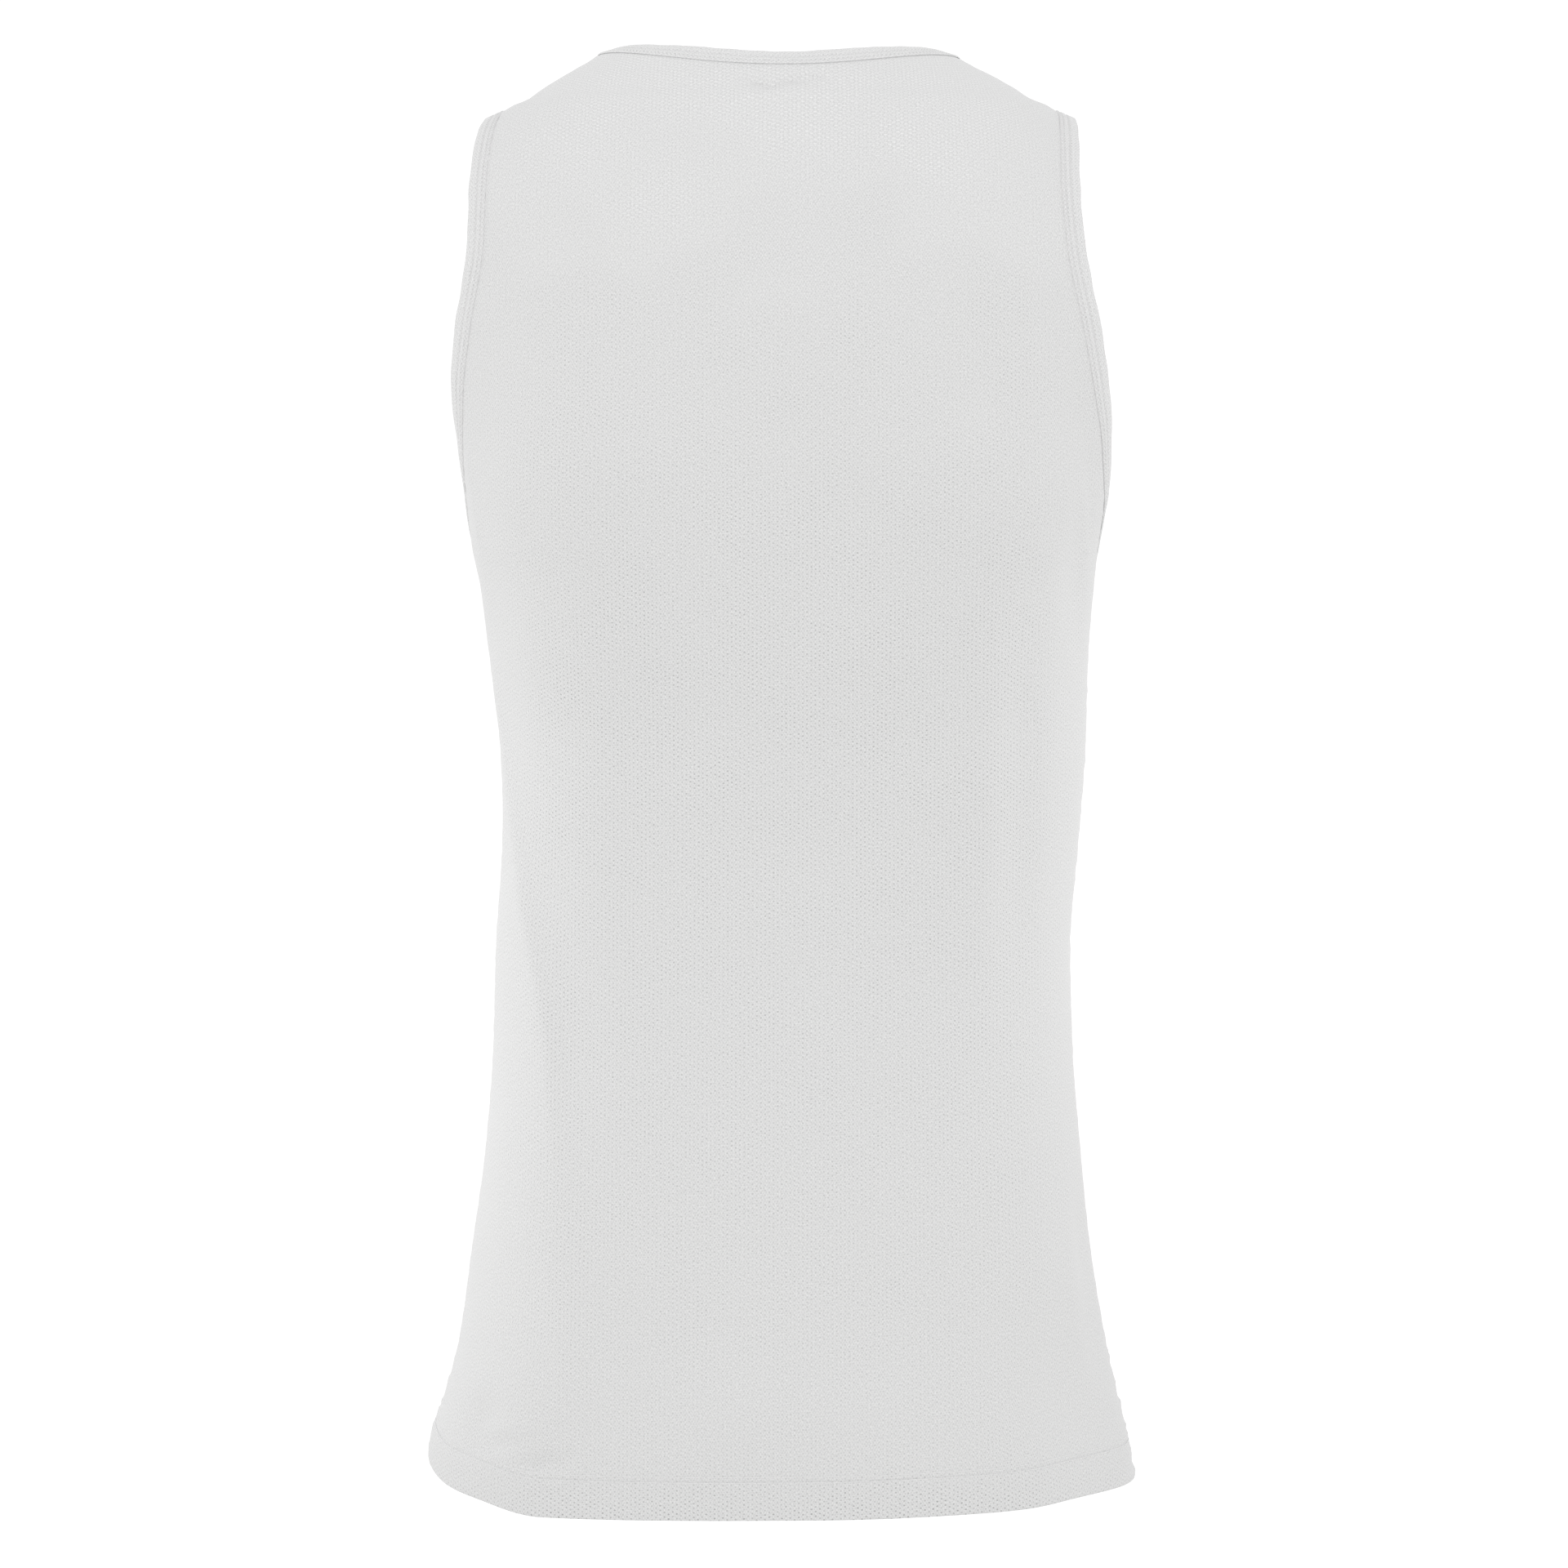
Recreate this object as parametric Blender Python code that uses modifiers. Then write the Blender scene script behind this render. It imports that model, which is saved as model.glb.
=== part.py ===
"""Sleeveless basketball jersey in mesh knit, hollow, in the shape that it has when worn.

It is cut as a real one: a back panel and a front panel, sewn together at the sides and the shoulders,
with a strip bound round the neck and round each armhole. The lower edge of both panels is turned up
inside as a hem. Each cut piece is one closed solid, a seam's gap apart from its neighbours.

Metres, +Z up. The wearer faces -Y, so +X is the wearer's left. The origin lies between the shoulder
seams, at the height of their neck ends, where the shoulders carry the jersey.
"""

import math
from collections import namedtuple

import bmesh
import bpy
import numpy as np
from mathutils import Vector

MM = 0.001

# Cloth and seams
CLOTH = 1.4 * MM  # wall of the panels
HEM_CLOTH = 2.4 * MM  # two layers, where the edge is turned up
HEM_TURN = 19  # mm, depth of the turned-up edge, at its stitches
HEM_STEP = 2  # mm, height over which the second layer ends
SEAM_GAP = 0.65 * MM  # between the outer faces of the two panels
BINDING_GAP = 0.35 * MM  # between a panel and its binding
BINDING_WIDTH = 10.0 * MM
BINDING_CLOTH = 2.2 * MM  # the strip is folded round the raw edge
BINDING_ROUND = 0.6 * MM  # bevel of the strip's four edges

# Cut lines, in mm, with level 0 at the neck ends of the shoulder seams
NECK_SIDE = -2
NECK_HALF_LEFT = 101
NECK_HALF_RIGHT = 96
BACK_NECK_DROP = 13
FRONT_NECK_DROP = 124
SHOULDER_TIP = -32
UNDERARM_LEFT = -264
UNDERARM_RIGHT = -275

# How far the armhole's edge reaches behind and in front of the shoulder line, in mm
ARMHOLE_BACK_REACH_LEFT = 68
ARMHOLE_BACK_REACH_RIGHT = 80
ARMHOLE_FRONT_REACH = 70
ARMHOLE_BACK_LOW = -0.22  # how much further it reaches below its middle than above it
ARMHOLE_FRONT_LOW = 0.16

# How much a binding leans with the cloth under it, at the top and at the bottom of its opening: 1 lies
# in line with the cloth, 0 stands upright, and more than 1 leans in towards the middle
NECK_LEAN = (2.0, 1.3)
ARMHOLE_LEAN = (1.0, 0.05)

# The lower edge's level, in mm, by degrees around from the left side seam over the back
Hem = namedtuple("Hem", "around level")
HEM = (
    Hem(-90, -777),
    Hem(-35, -772),
    Hem(0, -762),
    Hem(35, -771.5),
    Hem(55, -782),
    Hem(90, -781.5),
    Hem(125, -777.5),
    Hem(145, -773.5),
    Hem(180, -771.5),
    Hem(215, -774),
    Hem(270, -777),
)

# How far each panel's rows dip at the centre, at the underarm and at the shoulder tip, in mm
BACK_DIPS = (0, 22)
FRONT_DIPS = (60, 108)
ROW_DIP_POWER = 3.5

# Number of quads in a panel
COLUMNS = 32
ROWS_BELOW_UNDERARM = 14
ROWS_AT_ARMHOLE = 14
ROWS_AT_SHOULDER = 4

# Sections of the worn cloth, from the hem up to the neck, in mm. Left, right: how far the panels' cut
# edge lies from the middle, first the side seam, then the armhole and the shoulder seam. Inset: how
# much deeper the front is cut. Back, front: depths from the shoulder line. Square: 2 is an ellipse,
# and more is flatter at the back and the sides.
Section = namedtuple("Section", "level left right inset back front square")
SECTIONS = (
    Section(-800, 195.0, 195.0, 0, 115, 114, 2.80),
    Section(-775, 193.5, 191.5, 0, 120, 116, 2.80),
    Section(-752, 191.0, 187.0, 0, 123, 117, 2.78),
    Section(-726, 184.5, 181.0, 0, 124, 116, 2.75),
    Section(-699, 177.5, 174.8, 0, 122, 114, 2.70),
    Section(-646, 169.0, 166.0, 0, 117, 112, 2.65),
    Section(-593, 161.8, 160.6, 0, 109, 110, 2.60),
    Section(-539, 157.8, 156.6, 0, 99, 108, 2.50),
    Section(-486, 156.3, 155.5, 0, 91, 106, 2.45),
    Section(-433, 153.8, 159.6, 0, 88, 105, 2.45),
    Section(-379, 155.0, 162.5, 0, 92, 108, 2.45),
    Section(-326, 160.0, 165.2, 0, 102, 113, 2.60),
    Section(-290, 165.5, 168.6, 0, 109, 116, 2.80),
    Section(-268, 169.8, 170.5, 0, 113, 118, 2.95),
    Section(-245, 171.0, 173.0, 2, 116, 120, 3.00),
    Section(-222, 170.8, 171.0, 5, 118, 121, 2.80),
    Section(-190, 170.6, 165.4, 10, 118, 121, 2.25),
    Section(-157, 168.0, 159.8, 14, 117, 118, 2.08),
    Section(-110, 162.0, 151.0, 16, 111, 108, 2.05),
    Section(-75, 157.8, 147.0, 12, 102, 95, 2.05),
    Section(-50, 156.6, 147.0, 5, 92, 81, 2.08),
    Section(-32, 154.8, 150.5, 0, 83, 68, 2.15),
    Section(-14, 118.0, 112.0, 0, 71, 53, 2.10),
    Section(-2, 101.0, 96.0, 0, 64, 44, 2.20),
    Section(8, 83.0, 78.0, 0, 58, 38, 2.20),
)

# Soft folds. Top, bottom: levels of its ends, in mm. Around: degrees from the wearer's left side seam
# over the back, 90 at the centre back and 270 at the centre front, at its top and its bottom. Width:
# degrees. Height: mm, and below 0 for a trough.
Fold = namedtuple("Fold", "top bottom around_top around_bottom width height")
FOLDS = (
    # the back, as the cloth falls from the blades to the waist and over the hips
    Fold(-330, -690, 24, 47, 8, 3.6),
    Fold(-330, -690, 12, 30, 8, -4.2),
    Fold(-600, -735, 163, 166, 7, -3.4),
    Fold(-170, -560, 104, 122, 8, -2.2),
    Fold(-120, -430, 96, 112, 8, 1.8),
    Fold(-250, -520, 136, 140, 7, -2.4),
    Fold(-280, -560, 124, 128, 7, 1.8),
    Fold(-20, -260, 88, 90, 9, 1.6),
    Fold(-205, -330, 150, 158, 8, -3.0),
    Fold(-660, -900, 138, 146, 17, -4.5),
    Fold(-690, -880, 58, 54, 16, -3.5),
    Fold(-680, -860, 96, 98, 10, 3.0),
    # the front, as it hangs from the chest
    Fold(-240, -620, 338, 322, 9, -4.0),
    Fold(-260, -640, 326, 309, 8, 3.0),
    Fold(-250, -600, 204, 221, 9, -3.6),
    Fold(-280, -650, 215, 234, 8, 2.8),
    Fold(-420, -900, 292, 297, 9, 4.2),
    Fold(-440, -900, 279, 281, 9, -3.4),
    Fold(-450, -900, 246, 241, 9, 4.0),
    Fold(-400, -860, 262, 259, 8, -3.0),
    Fold(-560, -900, 326, 330, 9, -3.0),
)

# Colour of the cloth
WHITE_KNIT = (0.70, 0.70, 0.70, 1.0)
KNIT_ROUGHNESS = 0.85
BINDING_TONE = 1.03  # the folded strip is a little paler than the single cloth


def smooth_curve(rows, along, column):
    """A function through one column of a table against another, without overshoot between its rows."""
    x = np.array([getattr(row, along) for row in rows], float)
    y = np.array([getattr(row, column) for row in rows], float)
    step = np.diff(x)
    rise = np.diff(y) / step
    slope = np.empty_like(y)
    slope[0], slope[-1] = rise[0], rise[-1]
    for i in range(1, len(y) - 1):
        if rise[i - 1] * rise[i] <= 0:
            slope[i] = 0
            continue
        before, after = 2 * step[i] + step[i - 1], step[i] + 2 * step[i - 1]
        slope[i] = (before + after) / (before / rise[i - 1] + after / rise[i])

    def value(at):
        i = int(np.clip(np.searchsorted(x, at) - 1, 0, len(step) - 1))
        t = (at - x[i]) / step[i]
        return (
            y[i] * (1 + 2 * t) * (1 - t) ** 2
            + y[i + 1] * (3 - 2 * t) * t**2
            + step[i] * (slope[i] * t * (1 - t) ** 2 + slope[i + 1] * t**2 * (t - 1))
        )

    return value


SECTION_AT = {name: smooth_curve(SECTIONS, "level", name) for name in Section._fields[1:]}
HEM_AT = smooth_curve(HEM, "around", "level")


def eased(share):
    share = min(max(share, 0.0), 1.0)
    return share * share * (3 - 2 * share)


def fold_height(around, level):
    """How far the folds lift the cloth at a place, in mm."""
    height = 0.0
    for fold in FOLDS:
        share = (fold.top - level) / (fold.top - fold.bottom)
        if not 0 < share < 1:
            continue
        centre = fold.around_top + (fold.around_bottom - fold.around_top) * share
        off = (around - centre + 180) % 360 - 180
        fade = eased(share * 3) * eased((1 - share) * 3)
        height += fold.height * fade * math.exp(-((off / fold.width) ** 2))
    return height


def armhole_turn(wearer_left, level):
    """0 at the shoulder tip and above it, pi at the underarm and below it."""
    underarm = UNDERARM_LEFT if wearer_left else UNDERARM_RIGHT
    share = (SHOULDER_TIP - level) / (SHOULDER_TIP - underarm)
    return math.acos(1 - 2 * min(max(share, 0), 1))


def cut_edge(side, wearer_left, level):
    """(x, y) in mm of a panel's cut edge at a level, both positive. side is 1 on the back and -1 on
    the front. y is above 0 only where the edge goes round the armhole."""
    turn = armhole_turn(wearer_left, level)
    back_reach = ARMHOLE_BACK_REACH_LEFT if wearer_left else ARMHOLE_BACK_REACH_RIGHT
    reach = back_reach if side > 0 else ARMHOLE_FRONT_REACH
    low = ARMHOLE_BACK_LOW if side > 0 else ARMHOLE_FRONT_LOW
    reach *= math.sin(turn) * (1 - low * math.cos(turn))
    x = SECTION_AT["left" if wearer_left else "right"](level)
    if side < 0:
        x -= SECTION_AT["inset"](level)
    return x, reach


def ring(side, wearer_left, level):
    """(half width, depth, power) of the ring on which the cloth lies at a level, so drawn that it
    passes through the cut edge."""
    x, y = cut_edge(side, wearer_left, level)
    depth = SECTION_AT["back" if side > 0 else "front"](level)
    square = SECTION_AT["square"](level)
    return x / (1 - (y / depth) ** square) ** (1 / square), depth, 2 / square


def cloth_point(side, angle, level):
    """A point of the worn cloth's outer face. The angle runs from 0 at the wearer's left to pi at the
    right; the level is in mm."""
    cosine, sine = math.cos(angle), math.sin(angle)
    half, depth, power = ring(side, cosine > 0, level)
    x = half * math.copysign(abs(cosine) ** power, cosine)
    y = side * depth * math.copysign(abs(sine) ** power, sine)
    lift = 1 + fold_height(math.degrees(side * angle) % 360, level) / math.hypot(x, y)
    return Vector((x * lift * MM, y * lift * MM + side * SEAM_GAP / 2, level * MM))


def armhole_angle(side, wearer_left, level):
    """Where the armhole's edge cuts the ring at a level."""
    _, depth, power = ring(side, wearer_left, level)
    return math.asin((cut_edge(side, wearer_left, level)[1] / depth) ** (1 / power))


def neck_place(side, turn):
    """(angle, level) on the neck's cut line, with turn from 0 at the left to pi at the right."""
    wearer_left = math.cos(turn) > 0
    reach = NECK_HALF_LEFT if wearer_left else NECK_HALF_RIGHT
    dip = math.sin(turn)
    level = NECK_SIDE - (BACK_NECK_DROP * dip**2 if side > 0 else FRONT_NECK_DROP * dip)
    half, _, power = ring(side, wearer_left, level)
    across = min(1, abs(math.cos(turn)) * reach / half) ** (1 / power)
    return math.acos(math.copysign(across, math.cos(turn))), level


def evenly(places, side, count):
    """count + 1 of the (angle, level) places of a dense row, spaced evenly along the cloth."""
    points = [cloth_point(side, *place) for place in places]
    run = [0.0]
    for a, b in zip(points, points[1:]):
        run.append(run[-1] + (b - a).length)
    wanted = np.linspace(0, run[-1], count + 1)
    return list(
        zip(
            np.interp(wanted, run, [place[0] for place in places]),
            np.interp(wanted, run, [place[1] for place in places]),
        )
    )


def row_places(left, right, dip, left_start=0.0, right_start=0.0, dense=160):
    """A row across a panel, from a level at the left edge to one at the right, dipping between. Its
    ends lie at the start angles from the two sides."""
    left += dip * math.sin(left_start) ** ROW_DIP_POWER
    right += dip * math.sin(right_start) ** ROW_DIP_POWER
    places = []
    for i in range(dense + 1):
        share = i / dense
        angle = left_start + (math.pi - left_start - right_start) * share
        dipped = dip * abs(math.sin(angle)) ** ROW_DIP_POWER
        places.append((angle, left + (right - left) * share - dipped))
    return places


def panel_rows(side):
    """The rows of a panel, from the hem to the neck, as lists of (angle, level)."""
    underarm_dip, tip_dip = BACK_DIPS if side > 0 else FRONT_DIPS
    underarm = row_places(UNDERARM_LEFT, UNDERARM_RIGHT, underarm_dip)
    hem = [(a, HEM_AT((side * math.degrees(a) + 90) % 360 - 90)) for a, _ in underarm]

    rows = []
    for above in (0, HEM_TURN / 2, HEM_TURN, HEM_TURN + HEM_STEP):
        rows.append([(angle, level + above) for angle, level in hem])
    first = rows[-1]
    for i in range(1, ROWS_BELOW_UNDERARM + 1):
        share = i / ROWS_BELOW_UNDERARM
        rows.append([(a, lo + (up - lo) * share) for (a, lo), (_, up) in zip(first, underarm)])
    for i in range(1, ROWS_AT_ARMHOLE + 1):
        turn = math.pi * (1 - i / ROWS_AT_ARMHOLE)
        share = (1 - math.cos(turn)) / 2
        left = SHOULDER_TIP + (UNDERARM_LEFT - SHOULDER_TIP) * share
        right = SHOULDER_TIP + (UNDERARM_RIGHT - SHOULDER_TIP) * share
        dip = tip_dip + (underarm_dip - tip_dip) * share
        starts = armhole_angle(side, True, left), armhole_angle(side, False, right)
        rows.append(row_places(left, right, dip, *starts))
    rows = [evenly(row, side, COLUMNS) for row in rows]

    tip = rows[-1]
    neck = evenly([neck_place(side, math.pi * i / 400) for i in range(401)], side, COLUMNS)
    for i in range(1, ROWS_AT_SHOULDER + 1):
        share = i / ROWS_AT_SHOULDER
        rows.append(
            [
                (a + (b - a) * share, low + (high - low) * share)
                for (a, low), (b, high) in zip(tip, neck)
            ]
        )
    return rows


def finish(name, mesh_object, material, collection):
    mesh_object.name = name
    mesh_object.data.name = name
    mesh_object.data.materials.append(material)
    mesh_object.data.shade_smooth()
    mesh_object.data.set_sharp_from_angle(angle=math.radians(40))
    collection.objects.link(mesh_object)


def surface_object(name, grid, material, collection, ring=False):
    """An open surface through the rows of a grid of points; a ring joins the last row to the first."""
    sheet = bmesh.new()
    rows = [[sheet.verts.new(point) for point in row] for row in grid]
    pairs = list(zip(rows, rows[1:]))
    if ring:
        pairs.append((rows[-1], rows[0]))
    for low, high in pairs:
        for a, b, c, d in zip(low, low[1:], high[1:], high):
            sheet.faces.new((a, b, c, d))
    mesh = bpy.data.meshes.new(name)
    sheet.to_mesh(mesh)
    sheet.free()
    made = bpy.data.objects.new(name, mesh)
    finish(name, made, material, collection)
    return made


def add_wall(made, thickness, offset):
    wall = made.modifiers.new("wall", "SOLIDIFY")
    wall.thickness = thickness
    wall.offset = offset
    wall.use_even_offset = True
    return wall


def make_panel(name, side, material, collection):
    """A front or back panel: one wall from the hem to the neck, doubled inside along the hem."""
    rows = panel_rows(side)
    grid = [[cloth_point(side, *place) for place in row] for row in rows]
    if side < 0:
        grid = [row[::-1] for row in grid]
    panel = surface_object(name, grid, material, collection)
    wall = add_wall(panel, HEM_CLOTH, -1)
    doubled = panel.vertex_groups.new(name="turned_up_hem")
    hem_rows = 3
    doubled.add(list(range(hem_rows * (COLUMNS + 1))), 1.0, "REPLACE")
    wall.vertex_group = doubled.name
    wall.thickness_vertex_group = CLOTH / HEM_CLOTH
    return rows


def cloth_normal(side, angle, level):
    """The outward normal of the worn cloth, from steps of 2 degrees and 2 mm each way."""
    turn, climb = math.radians(2), 2
    along = cloth_point(side, angle + turn, level) - cloth_point(side, angle - turn, level)
    up = cloth_point(side, angle, level + climb) - cloth_point(side, angle, level - climb)
    return (up.cross(along) * side).normalized()


def edge_loop(back_places, front_places, lean):
    """A closed loop of (point, normal) along a cut line over the back and returning over the front.
    The two lines share their ends, where the panels are sewn together."""
    levels = [level for _, level in back_places + front_places]
    loop = []
    for side, places in ((1, back_places), (-1, front_places)):
        for place in places[:-1]:
            normal = cloth_normal(side, *place)
            down = eased((max(levels) - place[1]) / (max(levels) - min(levels)))
            normal.z *= lean[0] + (lean[1] - lean[0]) * down
            loop.append((cloth_point(side, *place), normal.normalized()))
    for i in (0, len(back_places) - 1):
        point, normal = loop[i]
        loop[i] = Vector((point.x, 0, point.z)), Vector((normal.x, 0, normal.z)).normalized()
    return loop


def make_binding(name, loop, towards, material, collection):
    """A strip round a loop of (point, normal) on a panel's cut edge, reaching on in the cloth's own
    plane towards the opening's middle, and folded over to its own thickness."""
    count = len(loop)
    grid = []
    for i, (point, normal) in enumerate(loop):
        along = (loop[(i + 1) % count][0] - loop[i - 1][0]).normalized()
        out = along.cross(normal).normalized()
        if out.dot(towards - point) < 0:
            out.negate()
        middle = point - normal * (CLOTH / 2)
        reach = (BINDING_GAP, BINDING_GAP + BINDING_WIDTH / 2, BINDING_GAP + BINDING_WIDTH)
        grid.append([middle + out * distance for distance in reach])
    strip = surface_object(name, grid, material, collection, ring=True)
    add_wall(strip, BINDING_CLOTH, 0)
    rounded = strip.modifiers.new("rounded_edges", "BEVEL")
    rounded.width = BINDING_ROUND
    rounded.segments = 1
    rounded.limit_method = "ANGLE"
    rounded.angle_limit = math.radians(60)


def knit_material(name, tone):
    material = bpy.data.materials.new(name)
    material.use_nodes = True
    shader = material.node_tree.nodes["Principled BSDF"]
    shader.inputs["Base Color"].default_value = (*(c * tone for c in WHITE_KNIT[:3]), 1.0)
    shader.inputs["Roughness"].default_value = KNIT_ROUGHNESS
    shader.inputs["Metallic"].default_value = 0.0
    return material


def main():
    for old in list(bpy.data.objects):
        bpy.data.objects.remove(old)
    collection = bpy.data.collections.new("basketball_jersey")
    bpy.context.scene.collection.children.link(collection)

    knit = knit_material("mesh_knit", 1.0)
    strip = knit_material("binding_knit", BINDING_TONE)
    back = make_panel("back_panel", 1, knit, collection)
    front = make_panel("front_panel", -1, knit, collection)

    neck = edge_loop(back[-1], front[-1][::-1], NECK_LEAN)
    make_binding("neck_binding", neck, Vector((0, 0, 0.05)), strip, collection)

    armhole_rows = slice(-ROWS_AT_SHOULDER - ROWS_AT_ARMHOLE - 1, -ROWS_AT_SHOULDER)
    for name, column, x in (
        ("armhole_binding_left", 0, 0.19),
        ("armhole_binding_right", -1, -0.19),
    ):
        up_the_back = [row[column] for row in back[armhole_rows]]
        down_the_front = [row[column] for row in front[armhole_rows]][::-1]
        loop = edge_loop(up_the_back, down_the_front, ARMHOLE_LEAN)
        middle = Vector((x, 0, (SHOULDER_TIP + UNDERARM_LEFT) / 2 * MM))
        make_binding(name, loop, middle, strip, collection)


main()
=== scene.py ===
"""Basketball jersey in white mesh knit, seen from behind, filled out as it is when worn.

Metres, +Z up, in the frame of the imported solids: the wearer faces -Y, +X is the wearer's left, and the
origin lies between the shoulder seams, at the height of their neck ends.
"""
import math
from collections import namedtuple

import bpy
import numpy as np
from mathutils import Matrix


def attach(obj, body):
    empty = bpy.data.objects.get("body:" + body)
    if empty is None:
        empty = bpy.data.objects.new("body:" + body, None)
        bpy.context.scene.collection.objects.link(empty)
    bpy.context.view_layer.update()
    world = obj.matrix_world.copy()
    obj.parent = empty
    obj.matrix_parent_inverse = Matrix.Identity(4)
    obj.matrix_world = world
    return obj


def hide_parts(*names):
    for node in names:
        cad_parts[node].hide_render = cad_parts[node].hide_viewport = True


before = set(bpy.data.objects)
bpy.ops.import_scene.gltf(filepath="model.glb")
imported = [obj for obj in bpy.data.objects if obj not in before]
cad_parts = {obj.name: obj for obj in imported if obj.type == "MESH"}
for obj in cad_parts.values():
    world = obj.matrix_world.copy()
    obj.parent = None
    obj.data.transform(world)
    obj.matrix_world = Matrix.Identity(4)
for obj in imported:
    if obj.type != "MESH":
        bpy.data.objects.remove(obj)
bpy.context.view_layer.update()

# Back panel

# One piece of polyester warp knit with a net of pinholes, cut on the straight grain. It falls from the
# shoulder blades to the hips, is sewn to the front at the sides and the shoulders, and its lower edge is
# turned up inside by 19 mm and coverstitched.

MM = 0.001
CLOTH = 0.9  # mm, one layer of the knit
HEM_FOLD = 1.9  # mm, two layers pressed together
HEM_RAW_EDGE = 23.5  # mm above the edge, where the turned-up layer ends inside
HEM_RAW_SLOPE = 0.9  # mm of height over which it ends
HEM_ROLL_RINGS = 4  # rings of points round the fold at the very edge
HEM_ROLL_STEP = 0.4  # mm of cloth from one ring to the next
HEM_STITCH_ROWS = (19.4, 22.4)  # mm above the edge, a twin-needle coverstitch
HEM_STEP = 0.15  # mm by which the doubled cloth below the stitches stands proud
HEM_STEP_FROM, HEM_STEP_SLOPE = 18.2, 1.8  # mm, where that step starts to end, and the height that it takes

# Grooves that seams and stitches draw in the cloth, in mm: their depth, how far in from the edge they
# lie, and half their width
Groove = namedtuple("Groove", "depth away half")
SEAM_GROOVE = Groove(0.6, 0.0, 1.3)
BINDING_DIP = Groove(0.28, 1.15, 0.55)
HEM_GROOVES = (Groove(0.32, 20.2, 0.4), Groove(0.1, 22.9, 0.4))  # just above each row of stitches

# Small puckers along the seams, in mm: their length, how far from the seam they reach, and their height
Gather = namedtuple("Gather", "length reach height")
SIDE_GATHER = Gather(13, 9, 0.45)
ARMHOLE_GATHER = Gather(9, 6, 0.28)
NECK_GATHER = Gather(9, 6, 0.22)
HEM_GATHER = Gather(11, 8, 0.30)
HEM_GATHER_AT = 20  # mm above the edge
GATHER_STRETCHES = (1.0, 0.71, 1.37)  # shares of that length, laid over each other
GATHER_HELD = 3  # mm from an edge within which its stitches hold the puckers down
PHASE_RANGE = 6  # radians, nearly a whole turn, in which a small wave's start is drawn
TIGHTER = 1.4  # share by which the side seams pucker more near the hem
TIGHTER_FROM, TIGHTER_OVER = 95, 60  # mm above the hem where that starts, and mm down to its full share

# The knit's slight waviness, as it hangs
WAVES = (150, 110, 84, 66, 52, 41)  # mm, their lengths
WAVE_TURN = 0.5  # radians that each may turn from upright
WAVE_UPRIGHT = 0.6  # share of that turn which counts, so that they stay near upright
WAVE_HEIGHT = 0.0022  # share of the length
WAVES_FROM_SEAM, WAVES_FROM_NECK, WAVES_FROM_HEM = 40, 50, 60  # mm over which they grow from an edge
WAVES_AT_HEM = 0.35  # share of them that is left at the hem
CREASE_HELD, BEND_HELD = 4, 6  # mm from a sewn edge over which creases and bends grow

# Cut lines, in mm, with level 0 at the neck ends of the shoulder seams
NECK_SIDE = -2  # the neck's cut line there, which the binding brings up to about level 0
NECK_HALF_LEFT = 101
NECK_HALF_RIGHT = 96
NECK_RIGHT_LOW = 1.8  # by which the neck's right end lies lower
NECK_RIGHT_POWER = 4  # above 1, so that little else of the neck does
BACK_NECK_DROP = 12
BACK_NECK_POWER = 2.6  # above 1, so that the back neck is level near its ends
FRONT_NECK_DROP = 124
SHOULDER_TIP = -32
UNDERARM_LEFT = -264
UNDERARM_RIGHT = -275
ARMHOLE_BACK_REACH_LEFT = 68
ARMHOLE_BACK_REACH_RIGHT = 80
ARMHOLE_FRONT_REACH = 70
ARMHOLE_BACK_LOW = -0.22  # share by which an armhole reaches further low down than in its middle
ARMHOLE_FRONT_LOW = 0.16
SEAM_HALF_GAP = 0.05  # between the two panels' edges

# The lower edge's level, in mm, by degrees around from the left side seam over the back
Hem = namedtuple("Hem", "around level")
HEM = (
    Hem(-90, -777),
    Hem(-35, -772),
    Hem(0, -758),
    Hem(12, -762.5),
    Hem(25, -769.3),
    Hem(38, -774.5),
    Hem(55, -782),
    Hem(78, -781.8),
    Hem(90, -781.2),
    Hem(105, -779.4),
    Hem(125, -777.6),
    Hem(145, -774.8),
    Hem(180, -771.5),
    Hem(215, -774),
    Hem(270, -777),
)

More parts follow.
